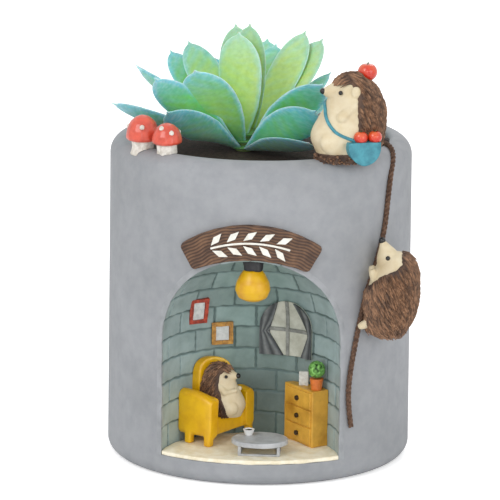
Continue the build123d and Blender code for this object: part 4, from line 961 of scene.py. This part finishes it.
def coatDepth(places, size, outline):
    # distance inside (+) or outside (-) the coat's outline, seen from the side
    corners = np.array(outline) * size
    x, z = places[:, 0], places[:, 2]
    inside = np.zeros(len(places), dtype=bool)
    nearest = np.full(len(places), 1.0)
    for (ax, az), (bx, bz) in zip(corners, np.roll(corners, -1, axis=0)):
        crosses = ((az > z) != (bz > z)) & (x < (bx - ax) * (z - az) / (bz - az + 1e-12) + ax)
        inside ^= crosses
        wayX, wayZ = bx - ax, bz - az
        share = np.clip(((x - ax) * wayX + (z - az) * wayZ) / (wayX**2 + wayZ**2), 0, 1)
        nearest = np.minimum(nearest, np.hypot(x - ax - share * wayX, z - az - share * wayZ))
    return np.where(inside, nearest, -nearest)


def comb(values, local):
    # quills lie down the back, and forward on the brow
    forward, high = values.get("crown", (9, 9))
    if local.x > forward * values["size"] and local.z > high * values["size"]:
        return Vector((0.9, 0, -0.25))
    return Vector(values["lie"])


def makeQuills(name, coat, values, keep):
    # quills laid like tiles over the coat, roots under the row above
    place, count, length, width, lowest = values["place"], *values["quills"]
    places, outward = points(coat.data), normals(coat.data)
    chance = np.random.RandomState(count)
    picks = chance.choice(len(places), size=min(count, len(places)), replace=False)
    inverse = place.inverted()
    root, tip = tone(quills["root"]), tone(quills["tip"])
    verts, faces, tints = [], [], []
    for pick in picks:
        spot, normal = Vector(places[pick]), Vector(outward[pick])
        local = inverse @ spot
        way = place.to_3x3() @ comb(values, local)
        way = way - normal * way.dot(normal)
        if not keep[pick] or way.length < 1e-6:
            continue
        way.normalize()
        across = way.cross(normal)
        way = (way + across * chance.uniform(*quills["sway"])).normalized()
        reach = length * chance.uniform(*quills["long"])
        if lowest is not None:
            reach = max(quills["shortest"], min(reach, (local.z - lowest) * 0.9))
        half = width * chance.uniform(*quills["broad"])
        lift = chance.uniform(*quills["lift"]) * mm
        bright = chance.uniform(*quills["bright"])
        start = len(verts)
        dip = lift * 0.4 - reach * reach * quills["droop"]
        # root, middle and tip: share of the way, breadth and height
        for along, broad, high in ((0.0, 0.7, -0.10 * mm), (0.4, 1.0, lift), (1.0, 0.12, dip)):
            centre = spot + way * reach * (along - quills["underRow"]) + normal * high
            under = centre - normal * quills["thick"] * mm
            side = across * half * broad
            verts += [under - side, centre + normal * half * broad * 0.8, under + side]
            shade = (0.25 + 0.75 * along**0.7) * bright
            tints += [root, blend(root, tip, shade), blend(root, tip, shade * 0.25)]
        for k in (start, start + 1, start + 3, start + 4):
            faces.append((k, k + 1, k + 4, k + 3))
        faces.append((start + 6, start + 7, start + 8))
    return linkMesh(name, verts, faces, tints, False)


def makeFigure(name, values, extras, beads, pads=()):
    # body, coat, quills and face beads of one hedgehog; parts are in its own frame
    place, size, levels = values["place"], values["size"], values["levels"]
    nodes = values["nodes"]
    body = joined(name + "Body", [swelling(size, size, levels)] + extras, place)
    remeshed(body, values["voxel"], values["smoothing"])
    layTint(body.data, speckled(**coats["furTint"])(points(body.data)))
    dress(body, "furCream", nodes + "_body")

    grown = swelling(size, size, levels, None, coats["thick"])
    coat = joined(name + "Coat", [grown, *pads], place)
    remeshed(coat, values["voxel"], values["smoothing"])
    back = np.array(place.inverted())
    local = points(coat.data) @ back[:3, :3].T + back[:3, 3]
    depth = coatDepth(local, size, values["outline"])
    depth = depth + coats["ragged"] * noiseField(local, 2600, 4)
    if pads:
        # the mound under the figure is quills too
        depth = np.where(local[:, 2] < 0.0010, np.maximum(depth, 0.001), depth)
    sunk = np.clip(-depth / coats["edge"], 0, 1)
    sunk = sunk * sunk * (3 - 2 * sunk) * coats["sunk"]
    setPoints(coat.data, points(coat.data) - normals(coat.data) * sunk[:, None])
    layTint(coat.data, speckled(**coats["coatTint"])(points(coat.data)))
    dress(coat, "quillBrown", nodes + "_quills")
    spines = makeQuills(name + "Quills", coat, values, depth > coats["edge"])
    dress(spines, "quillBrown", nodes + "_quills")
    built(name + "Face", beads, "eyeGloss", nodes + "_face", place)


def figurePlace(origin, turn):
    return Matrix.Translation(origin) @ Matrix.Rotation(radians(turn), 4, "Z")


# height of snout and eyes of a sitting figure, as a share of its size
snoutHeight = 0.755


def sittingExtras(size, paws=False):
    # snout, cheeks, arms and folded legs of a sitting figure
    def scaled(*shares):
        return Vector(shares) * size

    parts = [swelling(size, size, snoutLevels, headTurn(snoutHeight * size, 0, 0))]
    for side in (1, -1):
        parts.append(ball(scaled(0.05, side * 0.065, 0.715), scaled(0.10, 0.08, 0.095)))
        parts += capsule(scaled(-0.06, side * 0.185, 0.60), scaled(0.09, side * 0.205, 0.47),
                         0.075 * size, 0.068 * size)
        if paws:
            parts += capsule(scaled(0.12, side * 0.2, 0.47), scaled(0.25, side * 0.10, 0.50),
                             0.05 * size, 0.042 * size)
        parts.append(ball(scaled(0.13, side * 0.16, 0.19), scaled(0.21, 0.115, 0.17)))
    return parts


def sittingFace(values):
    size, eye, nose = values["size"], values["eye"], values["nose"]
    beads = [ball((0.262 * size, 0, snoutHeight * size), (nose * 0.9, nose * 1.05, nose))]
    for side in (1, -1):
        spot = surfaceSpot(size, sittingLevels, snoutHeight, side * 44)
        beads.append(ball(spot + Vector((0.012, side * 0.016, 0)) * size, (eye, eye, eye)))
    return beads


# hedgehog on the rim, on a mound of its own quills
rimHogSpot = potPlace(38.9, pot["topRadius"] - 0.0046, pot["height"] + 0.0012)
rimHog = {
    "nodes": "rim_hedgehog", "size": 0.0305, "eye": 0.00078, "nose": 0.0011,
    "place": figurePlace(rimHogSpot, -160.0),
    "levels": sittingLevels, "outline": sittingCoat, "voxel": 0.00026, "smoothing": 6,
    "crown": (-0.03, 0.84), "lie": (-0.55, 0, -1.0),
    # count, length, width and the lowest that a tip may reach
    "quills": (2300, 0.0050, 0.00125, -0.0006),
    "earHeight": 0.765, "earTurn": 82, "ear": (0.0018, 0.0009, 0.0021), "earOut": 0.0004,
    "moundDepth": 0.0022, "moundHeight": 0.0032,
    "mound": [(0, 0.01, 0.01, 0.0066), (0.25, 0.0103, 0.0121, 0.0068),
              (0.7, 0.0102, 0.012, 0.0067), (1.0, 0.0096, 0.0114, 0.006)],
}


def makeRimHog(values):
    size, height, turn = values["size"], values["earHeight"], values["earTurn"]
    extras = sittingExtras(size)
    for side in (1, -1):
        ear = surfaceSpot(size, sittingLevels, height, side * turn)
        extras.append(ball(ear + Vector((0, side * values["earOut"], 0)), values["ear"]))
    low = Matrix.Translation((0, 0, -values["moundDepth"]))
    mound = swelling(values["moundHeight"], 1.0, values["mound"], low)
    makeFigure("rimHog", values, extras, sittingFace(values), [mound])


makeRimHog(rimHog)

# satchel, strap and apples
finish("satchelTeal", (72, 150, 165), (150, 180, 190), 0.5, 350, 0.7, 1200, 0.4, 0.0003)
finish("appleRed", None, (235, 150, 110), 0.25, 420, 0.7, 500, 0.1, coat=0.6)
finish("calyxGreen", (66, 84, 44), (170, 180, 150), 0.5, 900, 0.6)
castCopy("satchel", "satchel", 0.18, 6, "satchelTeal", "satchel_teal", 0.2, 650)
strap = {
    "thick": 0.00058, "proud": 0.0005, "steps": 120, "sides": 12,
    # height and bearing on the body
    "spots": [(0.20, 96), (0.27, 66), (0.38, 44), (0.48, 24), (0.57, 8), (0.61, -12),
              (0.63, -45), (0.63, -85)],
}


def makeStrap(thick, proud, steps, sides, spots):
    line = []
    for share, turn in spots:
        spot = surfaceSpot(rimHog["size"], sittingLevels, share, turn)
        out = Vector((spot.x, spot.y, 0)).normalized()
        line.append(rimHog["place"] @ (spot + out * proud))
    parts = [tube(evenSteps(line, steps)[0], thick, sides)]
    built("satchelStrap", parts, "satchelTeal", "satchel_strap")


makeStrap(**strap)
apples = {
    "satchel_apples": {"name": "satchelApples", "stalks": "satchelStalks", "radius": 0.0025,
                       "centres": [(-0.0034, 0.009, 0.0076), (-0.0086, 0.009, 0.0076)]},
    "head_apple": {"name": "headApple", "stalks": "headStalks", "radius": 0.00345,
                   "centres": [(-0.0084, 0, 0.0292)]},
}
# glow: the painted highlight on the apples' tops
appleSkin = {"red": (214, 58, 34), "glow": (240, 140, 62), "dimple": 0.2, "dimpleReach": 0.4}
stalk = {"leaves": 5, "long": 0.0011, "thick": 0.00025, "rise": 0.78, "droop": 0.45}


def makeApples(node, name, centres, radius, red, glow, dimple, dimpleReach):
    # round apples, dimpled at the top, with a painted highlight: yellower and lighter on the top
    # round the stalk
    parts = []
    for centre in centres:
        verts, faces = ball((0, 0, 0), (radius, radius, radius * 0.95), None, 24, 32)
        shaped = []
        for v in verts:
            lean = atan2(hypot(v.x, v.y), v.z) / dimpleReach
            shaped.append(Vector(centre) + v * (1 - dimple * exp(-(lean**2))))
        parts.append((shaped, faces))
    mesh = built(name, parts, "appleRed", node, rimHog["place"])
    places = points(mesh)
    # the top of each apple lighter and yellower, broken by noise: painted highlight
    share = (places[:, 2] - places[:, 2].max() + radius) / radius * 0.5
    layTint(mesh, mixTint(red, glow, share * (0.5 + 0.5 * noiseField(places, 1500, 9))))


def makeStalks(node, name, centres, radius, leaves, long, thick, rise, droop):
    # a little star of leaves and a stub on top of each apple
    parts, leaf = [], (long * 0.6, thick * 1.4, thick)
    for centre in centres:
        top = rimHog["place"] @ (Vector(centre) + Vector((0, 0, radius * rise)))
        for k in range(leaves):
            turn = Matrix.Rotation(tau * (k + 0.2) / leaves, 3, "Z")
            turn = turn @ Matrix.Rotation(droop, 3, "Y")
            parts.append(ball(top + turn @ Vector((long * 0.5, 0, 0)), leaf, turn, 6, 8))
        parts += capsule(top, top + Vector((0.0002, 0, radius * 0.16)), thick * 1.2, thick)
    built(name, parts, "calyxGreen", node)


for node, each in apples.items():
    makeApples(node, each["name"], each["centres"], each["radius"], **appleSkin)
for node, each in apples.items():
    makeStalks(node, each["stalks"], each["centres"], each["radius"], **stalk)
print("stage: hedgehog on the rim")

# climbing hedgehog
climber = {
    "nodes": "climber", "size": 0.031, "eye": 0.00085, "nose": 0.00125,
    "place": figurePlace(potPlace(51.2, wallRadius(0.0532) + 0.0066, 0.0532), -176.0),
    "levels": climbingLevels, "outline": climbingCoat, "voxel": 0.00026, "smoothing": 5,
    "lie": (-0.5, 0, -1.0), "quills": (2300, 0.0050, 0.00125, None),
    "neck": 0.86, "headBehind": -0.015, "headLift": 70.0, "noseAt": 0.262, "eyesAt": 0.07,
    # limbs: height on the body, how far in, direction and length
    "limbs": [(0.63, 0.0016, (1, 0, 3.0), 0.0054), (0.20, 0.0032, (1, 0, -0.45), 0.0074)],
    "limbTurn": 20, "limbGirth": 0.0016,
}


def makeClimber(values):
    size = values["size"]
    head = headTurn(values["neck"] * size, values["headBehind"] * size, values["headLift"])
    extras = [swelling(size, size, climbingHead, head)]
    for side in (1, -1):
        for height, inward, way, long in values["limbs"]:
            spot = surfaceSpot(size, climbingLevels, height, side * values["limbTurn"])
            turn = Vector(way).to_track_quat("Z", "Y").to_matrix().to_4x4()
            laid = Matrix.Translation(spot - Vector((inward, 0, 0))) @ turn
            extras.append(swelling(long, values["limbGirth"], limbLevels, laid, 0, 24, 5))
    beads = [ball(head @ Vector((0, 0, values["noseAt"] * size)), (values["nose"],) * 3)]
    for turn in (90, -90):
        spot = surfaceSpot(size, climbingHead, values["eyesAt"], turn)
        beads.append(ball(head @ spot, (values["eye"],) * 3))
    makeFigure("climber", values, extras, beads)


makeClimber(climber)
print("stage: climbing hedgehog")

# hedgehog in the armchair
sitterBehind = Vector((-sin(chair["turn"]), cos(chair["turn"]), 0)) * 0.0019
sitterSpot = chairSpot + sitterBehind + Vector((0, 0, chair["seat"] - 0.0004))
sitter = {
    "nodes": "sitter", "size": 0.020, "eye": 0.00062, "nose": 0.00095,
    "place": figurePlace(sitterSpot, -20.0),
    "levels": sittingLevels, "outline": loungingCoat, "voxel": 0.0002, "smoothing": 5,
    "crown": (-0.005, 0.85), "lie": (-0.55, 0, -1.0), "quills": (1300, 0.0032, 0.00085, 0.0006),
}
makeFigure("sitter", sitter, sittingExtras(sitter["size"], True), sittingFace(sitter))
print("stage: seated hedgehog")

# succulent
plant = {
    "x": -0.006, "y": -0.003, "soil": 0.1119, "rootRadius": 0.0034, "thickness": 0.003,
    "hubHeight": 0.002, "hubGap": 0.0005, "stemClear": 0.0003, "bendOut": 0.52, "bendUp": 0.44,
    "lowRoot": 0.35, "rootSpread": 0.6, "rollStart": 0.45,
    "steps": 60, "across": 28, "closer": 1.35, "heartSize": (0.0050, 0.0050, 0.0011),
}
# each leaf: bearing, reach, rise over the soil, half width, roll
leafPlaces = [
    [(40, 39, 9, 8.4, -22), (88, 36, 14, 7.8, -20), (-178, 43, 15, 7.8, 0),
     (-134, 44, 16, 7.8, 0), (-84, 48, 17, 7.6, 28), (-54, 33, 17, 8.6, 36),
     (132, 42, 17, 7.8, 0), (52, 34, 19, 8.8, -42), (-160, 40, 26, 7.8, 0),
     (112, 33, 27, 7.8, 0), (-108, 43, 28, 7.8, 10), (-60, 36, 29, 8.4, 38),
     (155, 39, 29, 7.8, 0)],
    [(68, 31, 27, 8.6, -38), (-86, 39, 30, 8.0, 25), (-150, 30, 30, 7.8, 0),
     (-128, 37, 32, 7.6, -8), (-36, 28, 33, 9.6, 24), (136, 32, 35, 7.8, 0),
     (158, 26, 35, 7.6, 0), (168, 30, 36, 7.8, 0), (118, 31, 39, 8.2, 14),
     (132, 28, 41, 7.6, 10)],
    [(-132, 30, 36, 7.6, -10), (-24, 5, 44, 8.8, 0), (-150, 8, 45, 7.4, 0),
     (150, 3, 46, 7.4, 0)],
]
# a leaf's breadth and thickness, as shares, by the share of the way to its tip;
# past the start of its end it is a blunt bow with a small point
leafBreadths = ((0, 0.15, 0.30, 0.45, 0.6), (0.34, 0.60, 0.82, 0.95, 1.0))
leafEnd = {
    "start": 0.6, "length": 0.372, "square": 2.7, "bow": 0.6,
    "pointStart": 0.94, "pointSlope": 0.15 / 0.045, "pointLeast": 0.015,
}
leafThickness = ((0, 0.15, 0.3, 0.6, 0.86, 1), (0.55, 0.72, 0.8, 0.75, 0.42, 0.12))
leafColours = {
    "green": (106, 212, 112), "young": (190, 236, 104), "edge": (112, 208, 224),
    "heart": (198, 226, 128), "shadow": (66, 156, 66), "powder": (204, 236, 242),
    "middle": (90, 150, 80),
}
leafTones = {key: tone(colour) for key, colour in leafColours.items()}
leafPaint = {
    # rise from which leaves are inner ones, and under which they are low ones
    "innerFrom": 31, "innerSpan": 8, "lowFrom": 25, "lowSpan": 20, "lowMost": 0.45,
    "glow": 0.75, "glowAt": 0.42, "glowReach": 0.3, "shadow": 0.45, "shadowReach": 0.3,
    "tipFrom": 0.68, "specks": (-0.16, 0.34),
}
finish("leafSkin", None, (214, 228, 214), 0.4, 420, 0.5, 1500, 0.3, scatter=0.3, sheen=0.2)
finish("stemSkin", (130, 160, 90), (180, 190, 150), 0.5, 400, 0.7)


def leafBreadth(along):
    # broad towards a blunt end, with a small point
    end = leafEnd
    if along < end["start"]:
        return float(np.interp(along, *leafBreadths))
    blunt = max(0.0, 1 - min((along - end["start"]) / end["length"], 1) ** end["square"])
    point = end["pointSlope"] * (1 - along) + end["pointLeast"]
    return max(blunt**end["bow"], point if along > end["pointStart"] else 0)


def leafTint(along, u, fromEdge, bearing, rise):
    # powder lies on the edge and the tip, the face stays green
    tones, look = leafTones, leafPaint
    inner = held((rise - look["innerFrom"]) / look["innerSpan"])
    # low leaves take more of the edge colour: partly their bluer tone, partly painted light that
    # brightens leaves lying low in shade
    low = min(look["lowMost"], max(0, (look["lowFrom"] - rise) / look["lowSpan"]))
    shown = blend(tones["green"], tones["heart"], inner)
    glow = exp(-((along - look["glowAt"]) / look["glowReach"]) ** 2) * (1 - abs(u))
    shown = blend(shown, tones["young" if inner < 0.5 else "heart"], glow * look["glow"])
    deep = max(0, 1 - along / look["shadowReach"]) * look["shadow"] * (1 - 0.4 * inner)
    shown = blend(shown, tones["shadow"], deep)
    grain = 0.10 * sin(61 * along + 7 * u + bearing)
    grain += 0.08 * sin(23 * u - 47 * along + rise)
    edge = max(0, 1 - fromEdge / (0.9 + 2.2 * along)) ** 1.1
    end = max(0, along - look["tipFrom"]) / (1 - look["tipFrom"])
    cool = held(1.05 * edge + 0.75 * end + grain + 0.14 * along + low) * (1 - 0.5 * inner)
    frost = held(1.2 - fromEdge / 0.5) * 0.5
    frost = held(frost + dice.uniform(*look["specks"]) * (0.25 + cool))
    return blend(blend(shown, tones["edge"], cool), tones["powder"], frost)


def makeLeaf(bearing, reach, rise, halfWidth, roll, rootHeight):
    turn = radians(bearing)
    outward = Vector((sin(turn), -cos(turn), 0))
    upward = Vector((0, 0, 1))
    sideways = upward.cross(outward)
    tipReach = reach * mm - plant["rootRadius"]
    tipRise = plant["soil"] + rise * mm - rootHeight
    root = Vector((plant["x"], plant["y"], rootHeight)) + outward * plant["rootRadius"]
    bend = outward * (tipReach * plant["bendOut"]) + upward * (tipRise * plant["bendUp"])
    tip = outward * tipReach + upward * tipRise
    steps, across = plant["steps"], plant["across"]
    verts, tints = [], []
    for i in range(steps + 1):
        along = 1 - (1 - i / steps) ** plant["closer"]
        place = root + bend * (2 * along * (1 - along)) + tip * along**2
        course = (bend * (2 - 4 * along) + tip * (2 * along)).normalized()
        rolled = radians(roll) * min(1, along / plant["rollStart"])
        wide = sideways * cos(rolled) + course.cross(sideways) * sin(rolled)
        normal = course.cross(wide).normalized()
        broad = leafBreadth(along)
        thick = plant["thickness"] * float(np.interp(along, *leafThickness))
        for j in range(across):
            around = tau * j / across
            u = cos(around)
            lens = sqrt(max(0, 1 - u * u))
            # dished above, rounder below
            belly = 0.13 * lens if sin(around) > 0 else -0.42 * lens**0.8
            ripple = 0.03 * sin(9 * along + bearing) * u * u
            high = thick * (0.34 * u * u + ripple - 0.02 + belly)
            verts.append(place + wide * (halfWidth * mm * broad * u) + normal * high)
            fromEdge = (1 - abs(u)) * halfWidth * broad
            tints.append(leafTint(along, u, fromEdge, bearing, rise))
    return verts, ringFaces(steps + 1, across), tints


def makeWhorl(number, leaves):
    hub = plant["soil"] + plant["stemClear"] + number * (plant["hubHeight"] + plant["hubGap"])
    parts, tints = [], []
    for step, place in enumerate(leaves):
        share = plant["lowRoot"] + plant["rootSpread"] * step / (len(leaves) - 1)
        verts, faces, leafTints = makeLeaf(*place, hub + plant["hubHeight"] * share)
        parts.append((verts, faces))
        tints += leafTints
    heart = ball((plant["x"], plant["y"], hub + plant["hubHeight"] / 2), plant["heartSize"])
    tints += [leafTones["middle"]] * len(heart[0])
    name = str(number + 1)
    mesh = built("whorl" + name, parts + [heart], "leafSkin",
                 "leaf_whorl_" + name, body="plant")
    layTint(mesh, tints)


for number, leaves in enumerate(leafPlaces):
    makeWhorl(number, leaves)
dressSolid("plant_stem", "stemSkin")
print("stage: succulent")
